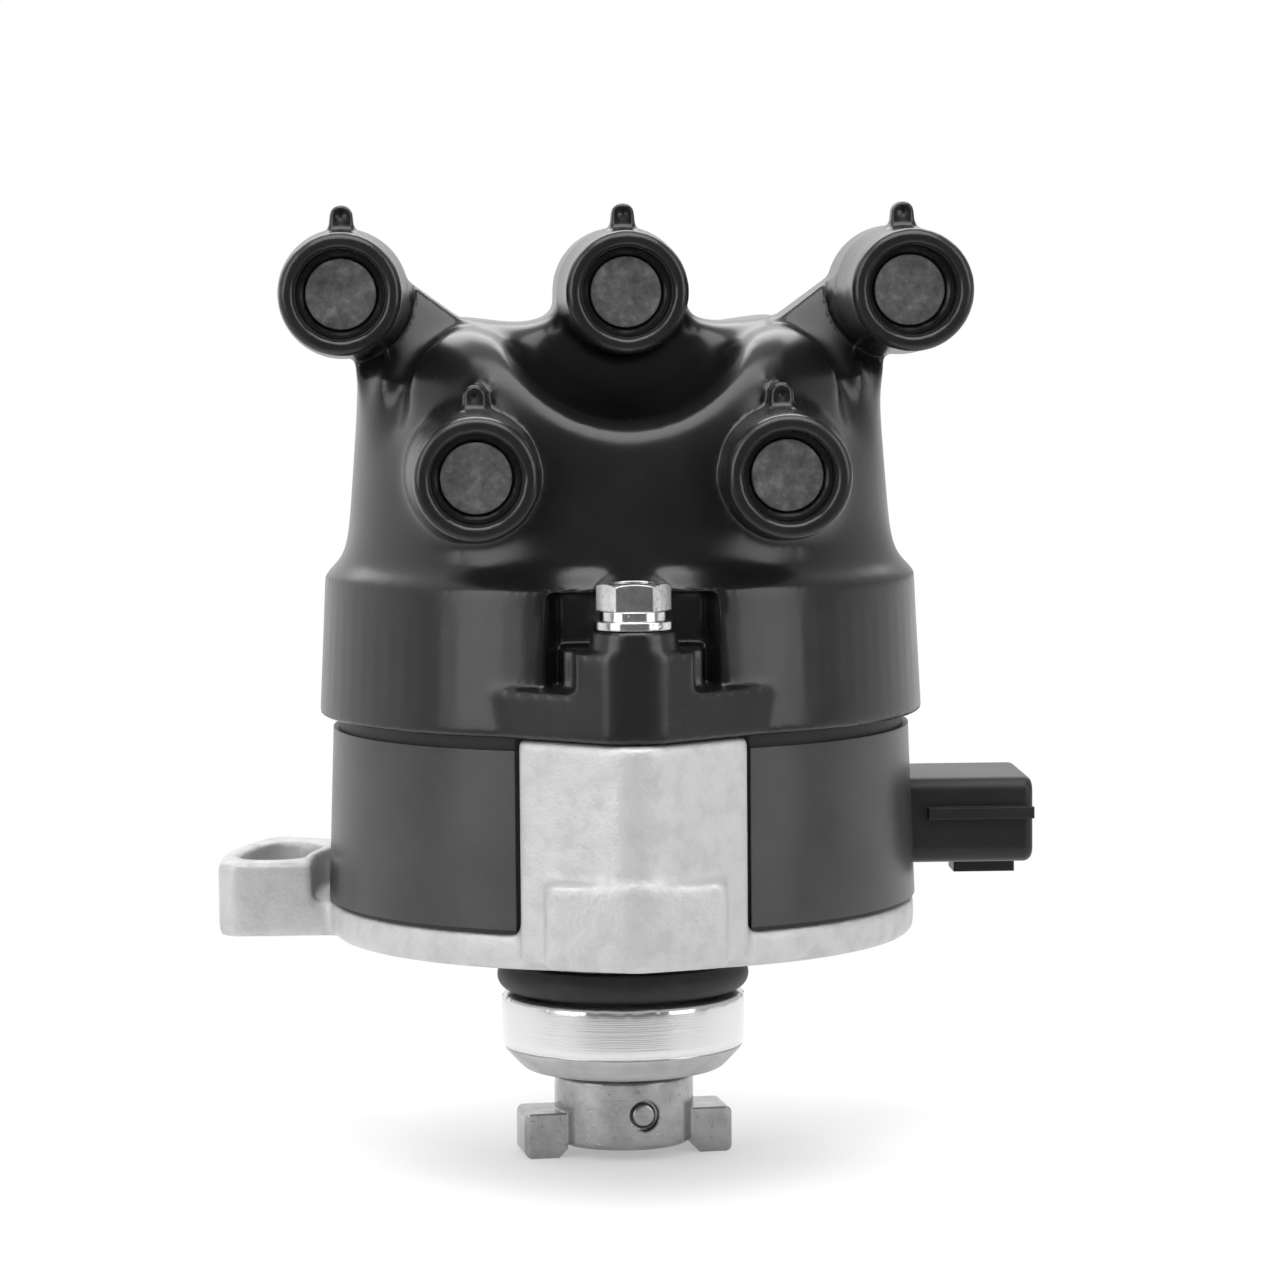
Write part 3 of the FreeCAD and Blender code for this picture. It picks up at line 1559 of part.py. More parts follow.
def shape_skirt(cap):
    """Cut the flat pockets into the skirt and add the lip, lug and collar under each screw."""
    outside = "(skirt_bottom_radius + overrun)"
    pockets = [
        [
            ("-pocket_half_width", f"{side} * pocket_depth"),
            ("-pocket_mouth", f"{side} * {outside}"),
            ("pocket_mouth", f"{side} * {outside}"),
            ("pocket_half_width", f"{side} * pocket_depth"),
        ]
        for side in (-1, 1)
    ]
    cap.cut(
        cap.sketch("XY_Plane", pockets, at=("0", "0", "cap_bottom + lip_height")),
        "pocket_height - lip_height",
        forwards=True,
    )
    cap.cut(
        cap.sketch("XY_Plane", circles=screw_circles("channel_radius"), at=("0", "0", "collar_seat")),
        "dome_bottom - collar_seat",
        forwards=True,
    )
    root = "(pocket_depth - pocket_wall / 2)"
    lips = both_sides("boss_nose", "boss_flank", "lip_half_width", root, "lug_front_radius")
    cap.grow(cap.sketch("XY_Plane", lips, at=("0", "0", "cap_bottom")), "lip_height")
    lugs = both_sides("boss_nose", "boss_flank", "lug_half_width", root, "lug_front_radius")
    cap.grow(cap.sketch("XY_Plane", lugs, at=("0", "0", "cap_bottom")), "lug_height")
    backs = [
        box("-lug_back_half_width", f"{side} * {root}", "lug_back_half_width", f"{side} * lug_back_reach")
        for side in (-1, 1)
    ]
    cap.grow(cap.sketch("XY_Plane", backs, at=("0", "0", "cap_bottom")), "lug_height")
    cap.grow(
        cap.sketch("XY_Plane", circles=screw_circles("collar_radius"), at=("0", "0", "lug_top")),
        "collar_rise",
    )
    cap.cut(
        cap.sketch(
            "XY_Plane", circles=screw_circles("screw_radius + screw_play"), at=("0", "0", "cap_bottom")
        ),
        "lug_height + collar_rise",
        forwards=True,
    )


def hollow_cap(cap):
    """Cut the cavity, then add the electrode bosses and the brush guide inside it."""
    flat = "(pocket_depth - pocket_wall)"
    cavity = flatted_circle("skirt_inner_radius", flat)
    cap.cut(
        cap.sketch("XY_Plane", [cavity], at=("0", "0", "cap_bottom")),
        "cavity_height",
        forwards=True,
    )
    upper = [
        ("0", "cap_bottom"),
        (f"{flat} - cavity_inset", "cap_bottom"),
        (f"{flat} - cavity_inset", "dome_bottom"),
        ("dome_inner_radius", "ceiling - ceiling_round", "ceiling_round", 1),
        ("dome_inner_radius - ceiling_round", "ceiling"),
        ("0", "ceiling"),
    ]
    cap.groove(cap.sketch("XZ_Plane", [upper]))
    guide = ("0", "0", "guide_radius")
    rise = "ceiling + overrun - guide_height"
    cap.grow(cap.sketch("XY_Plane", circles=[guide], at=("0", "0", "guide_height")), rise)
    spread = ("-electrode_spread", "electrode_spread")
    bosses = [(x, y, "electrode_boss_radius") for x in spread for y in spread]
    cap.grow(
        cap.sketch("XY_Plane", circles=bosses, at=("0", "0", "electrode_tip_height + electrode_bare")),
        "ceiling + overrun - electrode_tip_height - electrode_bare",
    )
    bore = ("0", "0", "brush_radius + brush_clearance")
    cap.cut(
        cap.sketch("XY_Plane", circles=[bore], at=("0", "0", "guide_height")),
        "guide_roof - guide_height",
        forwards=True,
    )


def cut_sockets(cap, places, level, face):
    """Sink the sockets of a row of towers."""
    circles = [(x, level, "socket_radius") for x in places]
    cap.cut(cap.sketch("XZ_Plane", circles=circles, at=("0", "0", face)), "socket_depth")

    def mouth(edge, middle):
        round_edge = isinstance(edge.Curve, Part.Circle)
        at_face = abs(middle.y + number(face)) < 0.01
        return round_edge and at_face and abs(edge.Curve.Radius - number("socket_radius")) < 0.01

    cap.soften(mouth, "socket_chamfer", "Chamfer")


def make_cap(beds):
    """The moulded cap: dome, five towers, arms, hump, skirt and cavity, less the contacts' beds."""
    cap = Piece("cap_moulding")
    add_dome(cap)
    shape_dome_front(cap)
    add_arms(cap)
    add_hump(cap)
    upper_row = ("0", "-upper_tower_spread", "upper_tower_spread")
    lower_row = ("-lower_tower_spread", "lower_tower_spread")
    upper = ("upper_tower_height", "upper_tower_face")
    lower = ("lower_tower_height", "lower_tower_face")
    for x in upper_row:
        add_tower(cap, x, *upper, "(arm_depth - lobe_plane)", False)
    for x in lower_row:
        add_tower(cap, x, *lower, "-root_boss_back", True)
    for row, (level, face) in ((upper_row, upper), (lower_row, lower)):
        add_tabs(cap, row, level, face)
        cut_sockets(cap, row, level, face)
    shape_skirt(cap)
    hollow_cap(cap)
    bed_set = DOC.addObject("Part::MultiFuse", "contact_beds")
    bed_set.Shapes = beds
    finished = DOC.addObject("Part::Cut", "distributor_cap")
    finished.Label = "distributor_cap"
    finished.Base = cap.body
    finished.Tool = bed_set
    finished.Refine = True
    DOC.recompute()
    return finished


def make_brush():
    """The carbon brush and the spring that presses it down onto the rotor."""
    brush = turned(
        "carbon_brush",
        [
            ("0", "brush_bottom"),
            ("brush_radius - 0.5", "brush_bottom"),
            ("brush_radius", "brush_bottom + 0.5"),
            ("brush_radius", "brush_top"),
            ("0", "brush_top"),
        ],
    )
    bottom = number("brush_top + spring_wire + seat_gap")
    top = number("guide_roof - spring_wire - seat_gap")
    height = top - bottom
    radius = number("spring_radius")
    helix = Part.makeHelix(height / number("spring_turns"), height, radius)
    section = Part.Wire(
        Part.makeCircle(number("spring_wire"), FreeCAD.Vector(radius, 0, 0), FreeCAD.Vector(0, 1, 0))
    )
    coil = Part.Wire(helix.Edges).makePipeShell([section], True, True)
    spring = DOC.addObject("Part::Feature", "brush_spring")
    spring.Label = "brush_spring"
    spring.Shape = coil
    spring.Placement = FreeCAD.Placement(FreeCAD.Vector(0, 0, bottom), FreeCAD.Rotation())
    return [brush.body, spring]


def make_cap_screws():
    """The two hexagon cap screws, each with a split spring washer and a flat washer."""
    screws = []
    flats = []
    springs = []
    for side in (-1, 1):
        y = f"{side} * screw_reach"
        screw = Piece("cap_screw")
        corner = "(hex_width / sqrt(3))"
        hexagon = [(f"{corner} * cos({60 * i})", f"{corner} * sin({60 * i})") for i in range(6)]
        screw.grow(screw.sketch("XY_Plane", [hexagon]), "hex_height")
        screw.groove(
            screw.sketch(
                "XZ_Plane",
                [
                    [
                        ("hex_width / 2 - 0.1", "hex_height + 0.01"),
                        (f"{corner} + 0.1", "hex_height + 0.01"),
                        (f"{corner} + 0.1", "hex_height - hex_crown"),
                    ]
                ],
            )
        )
        dish = ("0", "0", "hex_dish_radius")
        screw.cut(screw.sketch("XY_Plane", circles=[dish], at=("0", "0", "hex_height")), "hex_dish_depth")
        shank = ("0", "0", "screw_radius")
        screw.grow(screw.sketch("XY_Plane", circles=[shank]), "screw_grip", backwards=True)
        place(screw.body, "0", y, "head_seat")
        screw.body.setExpression("Placement.Rotation.Angle", bound("hex_turn"))
        screws.append(screw.body)
        bore = "screw_radius + screw_play"
        flat = tube("flat_washer", bore, "flat_washer_radius", "0", "flat_washer_thickness")
        place(flat.body, "0", y, "collar_seat")
        flats.append(flat.body)
        spring = tube("spring_washer", bore, "spring_washer_radius", "0", "spring_washer_thickness")
        slit = box("0", "-spring_washer_slit / 2", "spring_washer_radius + 1", "spring_washer_slit / 2")
        spring.cut(spring.sketch("XY_Plane", [slit]), "spring_washer_thickness", forwards=True)
        place(spring.body, "0", y, "washer_top")
        springs.append(spring.body)
    DOC.recompute()
    return [group("cap_screws", screws), group("flat_washers", flats), group("spring_washers", springs)]


def check(parts):
    """Stop on any failed object or on a sub-part without a valid solid shape."""
    for item in DOC.Objects:
        if "Invalid" in item.State or "Error" in item.State:
            raise RuntimeError(f"{item.Label} failed: {item.State}")
    for part in parts:
        if part.Shape.isNull() or not part.Shape.isValid() or not part.Shape.Solids:
            raise RuntimeError(f"{part.Label} has no valid solid")


def write(parts):
    """Write each sub-part to a STEP file that carries its name."""
    for part in parts:
        part.Shape.exportStep(f"parts/{part.Label}.step")


fill_sheet()
ANSWERS = fill_places()
contact_parts, contact_beds = make_contacts()
all_parts = [make_housing(), make_o_ring(), make_shaft(), make_ring(), make_cap(contact_beds)]
all_parts += make_bearings()
all_parts += make_retainer()
all_parts += make_coupling()
all_parts += make_connector()
all_parts.append(
    seal_ring("ring_gasket", "(ring_bottom_radius - gasket_inset)", "flange_thickness", "ring_bottom")
)
all_parts.append(seal_ring("cap_seal", "(ring_top_radius - cap_seal_inset)", "ring_top", "cap_bottom"))
all_parts += make_disc()
all_parts += make_pickup()
all_parts += make_module()
all_parts += make_cover()
all_parts += make_rotor()
all_parts += make_brush()
all_parts += make_cap_screws()
all_parts += contact_parts
DOC.recompute()
check(all_parts)
write(all_parts)
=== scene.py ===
"""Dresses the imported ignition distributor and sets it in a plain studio."""

import json
import logging
import math
from collections.abc import Sequence
from dataclasses import dataclass
from enum import Enum

import bmesh
import bpy
import numpy as np
from mathutils import Matrix, Vector


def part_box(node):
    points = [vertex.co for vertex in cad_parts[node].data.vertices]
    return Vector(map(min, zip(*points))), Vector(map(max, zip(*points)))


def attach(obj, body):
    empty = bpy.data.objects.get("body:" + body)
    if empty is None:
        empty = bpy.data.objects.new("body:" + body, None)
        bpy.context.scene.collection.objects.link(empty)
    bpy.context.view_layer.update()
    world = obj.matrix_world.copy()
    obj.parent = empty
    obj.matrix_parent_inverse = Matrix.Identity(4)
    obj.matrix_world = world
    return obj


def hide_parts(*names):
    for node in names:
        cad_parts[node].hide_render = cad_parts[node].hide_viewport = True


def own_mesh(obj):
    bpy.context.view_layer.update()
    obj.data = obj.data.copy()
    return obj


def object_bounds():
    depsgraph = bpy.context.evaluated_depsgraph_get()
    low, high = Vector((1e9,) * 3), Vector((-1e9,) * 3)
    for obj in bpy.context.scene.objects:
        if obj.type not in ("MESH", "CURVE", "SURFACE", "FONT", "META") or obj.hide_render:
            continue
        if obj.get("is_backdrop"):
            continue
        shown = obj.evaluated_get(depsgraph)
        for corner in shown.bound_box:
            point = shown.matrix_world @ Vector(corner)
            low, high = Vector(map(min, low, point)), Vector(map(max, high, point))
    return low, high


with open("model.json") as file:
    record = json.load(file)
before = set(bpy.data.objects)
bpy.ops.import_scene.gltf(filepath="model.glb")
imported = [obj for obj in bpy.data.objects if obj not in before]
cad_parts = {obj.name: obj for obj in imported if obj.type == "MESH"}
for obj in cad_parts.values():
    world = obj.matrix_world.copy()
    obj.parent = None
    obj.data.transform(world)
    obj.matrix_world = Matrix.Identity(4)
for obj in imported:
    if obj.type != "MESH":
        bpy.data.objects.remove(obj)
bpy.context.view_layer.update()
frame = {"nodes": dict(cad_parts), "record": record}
LOG = logging.getLogger("distributor")
MM = 0.001

Span = tuple[float, float]
Stops = tuple[Span, ...]
Outline = tuple[Span, ...]
Colour = tuple[float, float, float]
Point = tuple[float, float, float]
Socket = bpy.types.NodeSocket
Value = Socket | float | Colour


class Slot(Enum):
    """The record's material slots."""

    CAST_ALUMINIUM = "cast_aluminium"
    STEEL = "steel"
    BEARING_STEEL = "bearing_steel"
    ZINC = "zinc"
    RING_PLASTIC = "ring_plastic"
    CAP_PLASTIC = "cap_plastic"
    CONNECTOR_PLASTIC = "connector_plastic"
    SENSOR_PLASTIC = "sensor_plastic"
    ROTOR_PLASTIC = "rotor_plastic"
    CARBON = "carbon"
    RUBBER = "rubber"
    CONTACT_METAL = "contact_metal"
    BRASS = "brass"
    BRONZE = "bronze"


def grey(level: float) -> Colour:
    """Return an even grey of that level."""
    return (level, level, level)


class Graph:
    """A node tree being put together."""

    def __init__(self, tree: bpy.types.NodeTree) -> None:
        """Start with the tree emptied."""
        self.tree = tree
        self.tree.nodes.clear()

    def node(self, kind: str, **settings: object) -> bpy.types.Node:
        """Add a node.

        Args:
            kind: Blender's name for its kind.
            settings: The node's own properties by name.

        Returns:
            The node.
        """
        made = self.tree.nodes.new(kind)
        for name, value in settings.items():
            setattr(made, name, value)
        return made

    def join(self, source: Socket, target: Socket) -> None:
        """Link one socket to another."""
        self.tree.links.new(source, target)

    def feed(self, target: Socket, value: Value) -> None:
        """Link a socket, or set it where the value is a plain one.

        Args:
            target: The socket to feed.
            value: A socket, a number, a vector or a colour.
        """
        if isinstance(value, Socket):
            self.join(value, target)
        elif isinstance(value, tuple) and target.type == "RGBA":
            target.default_value = (*value, 1.0)
        else:
            target.default_value = value

    def maths(self, operation: str, first: Value, second: Value, clamp: bool = False) -> Socket:
        """Add an operation on two numbers.

        Args:
            operation: Blender's name for it.
            first: The first number.
            second: The second number.
            clamp: Whether the result is held between 0 and 1.

        Returns:
            The result.
        """
        node = self.node("ShaderNodeMath", operation=operation, use_clamp=clamp)
        self.feed(node.inputs[0], first)
        self.feed(node.inputs[1], second)
        return node.outputs["Value"]

    def multiply(self, first: Value, second: Value) -> Socket:
        """Return the product of two numbers."""
        return self.maths("MULTIPLY", first, second)

    def invert(self, value: Value) -> Socket:
        """Return 1 less the value."""
        return self.maths("SUBTRACT", 1.0, value)

    def levels(self, value: Value, low: float, high: float) -> Socket:
        """Return a value stretched from 0..1 to low..high."""
        return self.maths("ADD", self.multiply(value, high - low), low)

    def axis(self, place: Socket, name: str) -> Socket:
        """Split off one coordinate.

        Args:
            place: The place that it is taken from.
            name: X, Y or Z.

        Returns:
            The coordinate.
        """
        node = self.node("ShaderNodeSeparateXYZ")
        self.join(place, node.inputs[0])
        return node.outputs[name]

    def step(self, value: Value, span: Span, ends: Span = (0.0, 1.0)) -> Socket:
        """Add a smooth change from one level to another.

        Args:
            value: The value to compare.
            span: Where the change begins and ends.
            ends: The levels before it and after it.

        Returns:
            The level.
        """
        node = self.node("ShaderNodeMapRange", interpolation_type="SMOOTHSTEP")
        self.feed(node.inputs["Value"], value)
        node.inputs["From Min"].default_value, node.inputs["From Max"].default_value = span
        node.inputs["To Min"].default_value, node.inputs["To Max"].default_value = ends
        return node.outputs["Result"]


@dataclass(frozen=True)
class Patches:
    """Another shade where a noise is high: the noise's span, the most of it, and its level.

    The level is shade times the finish's own, plus lift.
    """

    span: Span
    share: float
    shade: float
    lift: float = 0.0

    def colour(self, level: float) -> Colour:
        """Return the patches' grey on a finish of that level."""
        return grey(level * self.shade + self.lift)


class Recipe(Graph):
    """A node material laid out over the object's own coordinates, in millimetres."""

    edge_samples: int = 6
    # where Blender's Mix node keeps its factor and two colours, and the colour that comes out
    mix_inputs: tuple[int, ...] = (0, 6, 7)
    mix_output: int = 2

    def __init__(self, name: str) -> None:
        """Start a material with a plain principled shader.

        Args:
            name: The material's name.
        """
        self.material = bpy.data.materials.new(name)
        self.material.use_nodes = True
        super().__init__(self.material.node_tree)
        self.output = self.node("ShaderNodeOutputMaterial")
        self.shader = self.node("ShaderNodeBsdfPrincipled")
        self.join(self.shader.outputs["BSDF"], self.output.inputs["Surface"])
        metres = self.node("ShaderNodeTexCoord").outputs["Object"]
        scaled = self.node("ShaderNodeVectorMath", operation="SCALE")
        self.join(metres, scaled.inputs[0])
        scaled.inputs["Scale"].default_value = 1 / MM
        self.place = scaled.outputs["Vector"]

    def stretched(self, factors: Point) -> Socket:
        """Multiply the place by a factor on each axis.

        Args:
            factors: The factors of X, Y and Z.

        Returns:
            The new place.
        """
        node = self.node("ShaderNodeVectorMath", operation="MULTIPLY")
        self.join(self.place, node.inputs[0])
        node.inputs[1].default_value = factors
        return node.outputs["Vector"]

    def noise(
        self, size: float, detail: float = 3.0, rough: float = 0.55, stretch: Point = (1, 1, 1),
    ) -> Socket:
        """Add a noise.

        Args:
            size: How large its lumps are, in millimetres.
            detail: How many finer layers it has.
            rough: How strong each finer layer is.
            stretch: How many times longer the lumps are along each axis.

        Returns:
            The noise's height, about 0 to 1.
        """
        scaled = self.stretched(tuple(1 / (size * longer) for longer in stretch))
        node = self.node("ShaderNodeTexNoise")
        self.join(scaled, node.inputs["Vector"])
        node.inputs["Scale"].default_value = 1.0
        node.inputs["Detail"].default_value = detail
        node.inputs["Roughness"].default_value = rough
        return node.outputs["Fac"]

    def ramp(self, value: Value, stops: Sequence[tuple[float, Colour]]) -> Socket:
        """Add a colour ramp.

        Args:
            value: Where on the ramp the colour is read.
            stops: Pairs of a place on the ramp and a colour.

        Returns:
            The colour.
        """
        node = self.node("ShaderNodeValToRGB")
        self.feed(node.inputs["Fac"], value)
        elements = node.color_ramp.elements
        while len(elements) < len(stops):
            elements.new(0.5)
        for element, (place, colour) in zip(elements, stops):
            element.position = place
            element.color = (*colour, 1.0)
        return node.outputs["Color"]

    def shades(self, value: Value, stops: Stops, level: float = 1.0) -> Socket:
        """Return a grey read from a ramp.

        Args:
            value: Where on the ramp the grey is read.
            stops: Pairs of a place on the ramp and a share of level.
            level: The grey that a share of 1 stands for.

        Returns:
            The grey.
        """
        return self.ramp(value, [(place, grey(level * share)) for place, share in stops])

    def mix(self, factor: Value, first: Value, second: Value) -> Socket:
        """Add a mix of two colours.

        Args:
            factor: 0 for the first, 1 for the second.
            first: The first colour.
            second: The second colour.

        Returns:
            The mixed colour.
        """
        node = self.node("ShaderNodeMix", data_type="RGBA")
        for index, value in zip(self.mix_inputs, (factor, first, second)):
            self.feed(node.inputs[index], value)
        return node.outputs[self.mix_output]

    def patched(self, mask: Socket, patches: Patches, colour: Value, level: float) -> Socket:
        """Return a colour with patches of another shade.

        Args:
            mask: Where the patches are.
            patches: How strong and how light they are.
            colour: The colour between them.
            level: The finish's own level.

        Returns:
            The patched colour.
        """
        return self.mix(self.multiply(mask, patches.share), colour, patches.colour(level))

    def bump(self, reliefs: Sequence[tuple[Value, float]], edge: float = 0.0) -> None:
        """Raise the surface by each height, one over another.

        Args:
            reliefs: Pairs of a height from 0 to 1 and what 1 stands for in millimetres.
            edge: The radius of the edges in millimetres, 0 where the mesh has its own.
        """
        last = None
        if edge:
            rounding = self.node("ShaderNodeBevel", samples=self.edge_samples)
            rounding.inputs["Radius"].default_value = edge * MM
            last = rounding.outputs["Normal"]
        for height, rise in reliefs:
            node = self.node("ShaderNodeBump")
            node.inputs["Strength"].default_value = 1.0
            node.inputs["Distance"].default_value = rise * MM
            self.feed(node.inputs["Height"], height)
            if last is not None:
                self.join(last, node.inputs["Normal"])
            last = node.outputs["Normal"]
        self.join(last, self.shader.inputs["Normal"])

    def surface(
        self, colour: Value, rough: Value, metal: Value = 0.0, specular: float = 0.5,
    ) -> None:
        """Set the shader's main sockets.

        Args:
            colour: The base colour.
            rough: The roughness.
            metal: The share of metal.
            specular: The specular level, set on the shader's own socket.
        """
        self.feed(self.shader.inputs["Base Color"], colour)
        self.feed(self.shader.inputs["Roughness"], rough)
        self.feed(self.shader.inputs["Metallic"], metal)
        self.shader.inputs["Specular IOR Level"].default_value = specular


@dataclass(frozen=True)
class CastFinish:
    """Sand-grained die casting whose pilot is turned bright.

    Sizes of noises, levels of Z and rises of the relief are in millimetres. The pilot's two spans
    are where its turned band begins under the flange and ends at its lead.
    """

    cast: float = 0.5
    turned: float = 0.74
    grain: float = 0.45
    lump: float = 3.2
    flow: float = 9.0
    flow_stretch: Point = (1.0, 1.0, 2.2)
    turning: float = 0.14
    turning_stretch: Point = (90, 90, 1)
    pilot_top: Span = (-0.3, -0.1)
    pilot_lead: Span = (-15.2, -14.9)
    tones: Stops = ((0.32, 0.88), (0.5, 1.0), (0.7, 1.06))
    pits: Patches = Patches((0.6, 0.78), 0.5, 0.66)
    streaks: Patches = Patches((0.5, 0.7), 0.22, 0.82)
    cast_rough: Stops = ((0.3, 0.52), (0.7, 0.38))
    turned_rough: float = 0.19
    metal: Span = (0.4, 0.92)
    flow_rise: float = 0.25
    lump_rise: float = 0.2
    grain_rise: float = 0.08
    turning_rise: float = 0.012

    def make(self, name: str) -> bpy.types.Material:
        """Put the material together.

        Args:
            name: The material's name.

        Returns:
            The material.
        """
        r = Recipe(name)
        grain = r.noise(self.grain, detail=4.0, rough=0.65)
        lump = r.noise(self.lump, detail=4.0, rough=0.6)
        flow = r.noise(self.flow, detail=3.0, rough=0.5, stretch=self.flow_stretch)
        turning = r.noise(self.turning, detail=2.0, rough=0.5, stretch=self.turning_stretch)
        under_flange = r.invert(r.step(r.axis(r.place, "Z"), self.pilot_top))
        under_band = r.invert(r.step(r.axis(r.place, "Z"), self.pilot_lead))
        pilot = r.maths("SUBTRACT", under_flange, under_band, clamp=True)
        around = r.invert(pilot)
        cast = r.shades(lump, self.tones, self.cast)
        cast = r.patched(r.step(grain, self.pits.span), self.pits, cast, self.cast)
        cast = r.patched(r.step(flow, self.streaks.span), self.streaks, cast, self.cast)
        r.surface(
            r.mix(pilot, cast, grey(self.turned)),
            r.mix(pilot, r.shades(lump, self.cast_rough), grey(self.turned_rough)),
            r.levels(pilot, *self.metal),
        )
        r.bump([
            (r.multiply(flow, around), self.flow_rise),
            (r.multiply(lump, around), self.lump_rise),
            (r.multiply(grain, around), self.grain_rise),
            (r.multiply(turning, pilot), self.turning_rise),
        ])
        return r.material


@dataclass(frozen=True)
class Moulding:
    """A black plastic with a faint orange peel, slow waves, rubbed patches and a little dust.

    Sizes of noises, the edges' radius and the rises of peel and wave are in millimetres.
    """

    level: float
    rough: float
    specular: float
    peel: float
    wave: float = 0.05
    edge: float = 0.0
    peel_size: float = 0.35
    patch_size: float = 9.0
    wave_size: float = 6.0
    dust_size: float = 0.22
    dust: Patches = Patches((0.7, 0.78), 0.3, 2.5, 0.01)
    tones: Stops = ((0.35, 0.85), (0.7, 1.2))
    polish: float = 0.05
    haze: float = 0.07

    def make(self, name: str) -> bpy.types.Material:
        """Put the material together.

        Args:
            name: The material's name.

        Returns:
            The material.
        """
        r = Recipe(name)
        peel = r.noise(self.peel_size, detail=3.0, rough=0.6)
        patch = r.noise(self.patch_size, detail=4.0, rough=0.55)
        wave = r.noise(self.wave_size, detail=2.0, rough=0.4)
        dust = r.step(r.noise(self.dust_size, detail=2.0, rough=0.5), self.dust.span)
        tone = r.shades(patch, self.tones, self.level)
        r.surface(
            r.patched(dust, self.dust, tone, self.level),
            r.levels(patch, self.rough - self.polish, self.rough + self.haze),
            specular=self.specular,
        )
        r.bump([(wave, self.wave), (peel, self.peel)], self.edge)
        return r.material


@dataclass(frozen=True)
class Machined:
    """Cut or rolled metal with marks round the shaft's axis, stains and small nicks.

    Sizes of noises, the edges' radius and the depths of marks and nicks are in millimetres.
    """

    level: float
    rough: float
    mark: float
    edge: float = 0.15
    mark_size: float = 0.22
    mark_stretch: Point = (40, 40, 1)
    stain_size: float = 3.0
    nick_size: float = 0.8
    nick: float = -0.02
    nicks: Patches = Patches((0.62, 0.72), 0.4, 0.6)
    tones: Stops = ((0.3, 0.72), (0.75, 1.15))
    dull: float = 0.08
    polish: float = 0.05

    def make(self, name: str) -> bpy.types.Material:
        """Put the material together.

        Args:
            name: The material's name.

        Returns:
            The material.
        """
        r = Recipe(name)
        mark = r.noise(self.mark_size, detail=2.0, rough=0.5, stretch=self.mark_stretch)
        stain = r.noise(self.stain_size, detail=5.0, rough=0.65)
        nick = r.step(r.noise(self.nick_size, detail=3.0, rough=0.6), self.nicks.span)
        tone = r.shades(stain, self.tones, self.level)
        r.surface(
            r.patched(nick, self.nicks, tone, self.level),
            r.levels(stain, self.rough + self.dull, self.rough - self.polish),
            metal=1.0,
        )
        r.bump([(mark, self.mark), (nick, self.nick)], self.edge)
        return r.material


@dataclass(frozen=True)
class TintedMetal:
    """A coloured metal such as brass or bronze, with its tarnish."""

    dark: Colour
    light: Colour
    rough: float
    dull: float = 0.08
    tarnish_size: float = 2.5
    tarnish_span: Span = (0.3, 0.75)
    grain_size: float = 0.25
    grain: float = 0.008
    edge: float = 0.1

    def make(self, name: str) -> bpy.types.Material:
        """Put the material together.

        Args:
            name: The material's name.

        Returns:
            The material.
        """
        r = Recipe(name)
        tarnish = r.noise(self.tarnish_size, detail=4.0, rough=0.6)
        tone = r.ramp(tarnish, list(zip(self.tarnish_span, (self.dark, self.light))))
        r.surface(tone, r.levels(tarnish, self.rough + self.dull, self.rough), metal=1.0)
        r.bump([(r.noise(self.grain_size, detail=2.0), self.grain)], self.edge)
        return r.material


@dataclass(frozen=True)
class ContactFinish:
    """The dull, mottled face of a lead contact."""

    mottle_size: float = 1.6
    speck_size: float = 0.4
    tones: Stops = ((0.3, 0.15), (0.5, 0.26), (0.72, 0.46))
    rough: Span = (0.38, 0.62)
    metal: float = 0.55
    mottle: float = 0.06
    speck: float = 0.02
    edge: float = 0.25

    def make(self, name: str) -> bpy.types.Material:
        """Put the material together.

        Args:
            name: The material's name.

        Returns:
            The material.
        """
        r = Recipe(name)
        mottle = r.noise(self.mottle_size, detail=5.0, rough=0.7)
        speck = r.noise(self.speck_size, detail=3.0, rough=0.6)
        r.surface(r.shades(mottle, self.tones), r.levels(speck, *self.rough), self.metal)
        r.bump([(mottle, self.mottle), (speck, self.speck)], self.edge)
        return r.material


@dataclass(frozen=True)
class RubberFinish:
    """Soft black rubber with a bloom."""

    bloom_size: float = 3.0
    tones: Stops = ((0.3, 0.008), (0.8, 0.02))
    rough: Span = (0.45, 0.6)
    specular: float = 0.4
    grain_size: float = 0.3
    grain: float = 0.01

    def make(self, name: str) -> bpy.types.Material:
        """Put the material together.

        Args:
            name: The material's name.

        Returns:
            The material.
        """
        r = Recipe(name)
        bloom = r.noise(self.bloom_size, detail=3.0)
        tone = r.shades(bloom, self.tones)
        r.surface(tone, r.levels(bloom, *self.rough), specular=self.specular)
        r.bump([(r.noise(self.grain_size, detail=2.0), self.grain)])
        return r.material


@dataclass(frozen=True)
class TintedPlastic:
    """The brown moulding of the rotor."""

    dark: Colour = (0.09, 0.028, 0.012)
    light: Colour = (0.17, 0.06, 0.025)
    flow_size: float = 5.0
    flow_span: Span = (0.3, 0.75)
    rough: Span = (0.32, 0.46)
    peel_size: float = 0.4
    peel: float = 0.012
    edge: float = 0.2

    def make(self, name: str) -> bpy.types.Material:
        """Put the material together.

        Args:
            name: The material's name.

        Returns:
            The material.
        """
        r = Recipe(name)
        flow = r.noise(self.flow_size, detail=4.0, rough=0.6)
        tone = r.ramp(flow, list(zip(self.flow_span, (self.dark, self.light))))
        r.surface(tone, r.levels(flow, *self.rough))
        r.bump([(r.noise(self.peel_size, detail=2.0), self.peel)], self.edge)
        return r.material


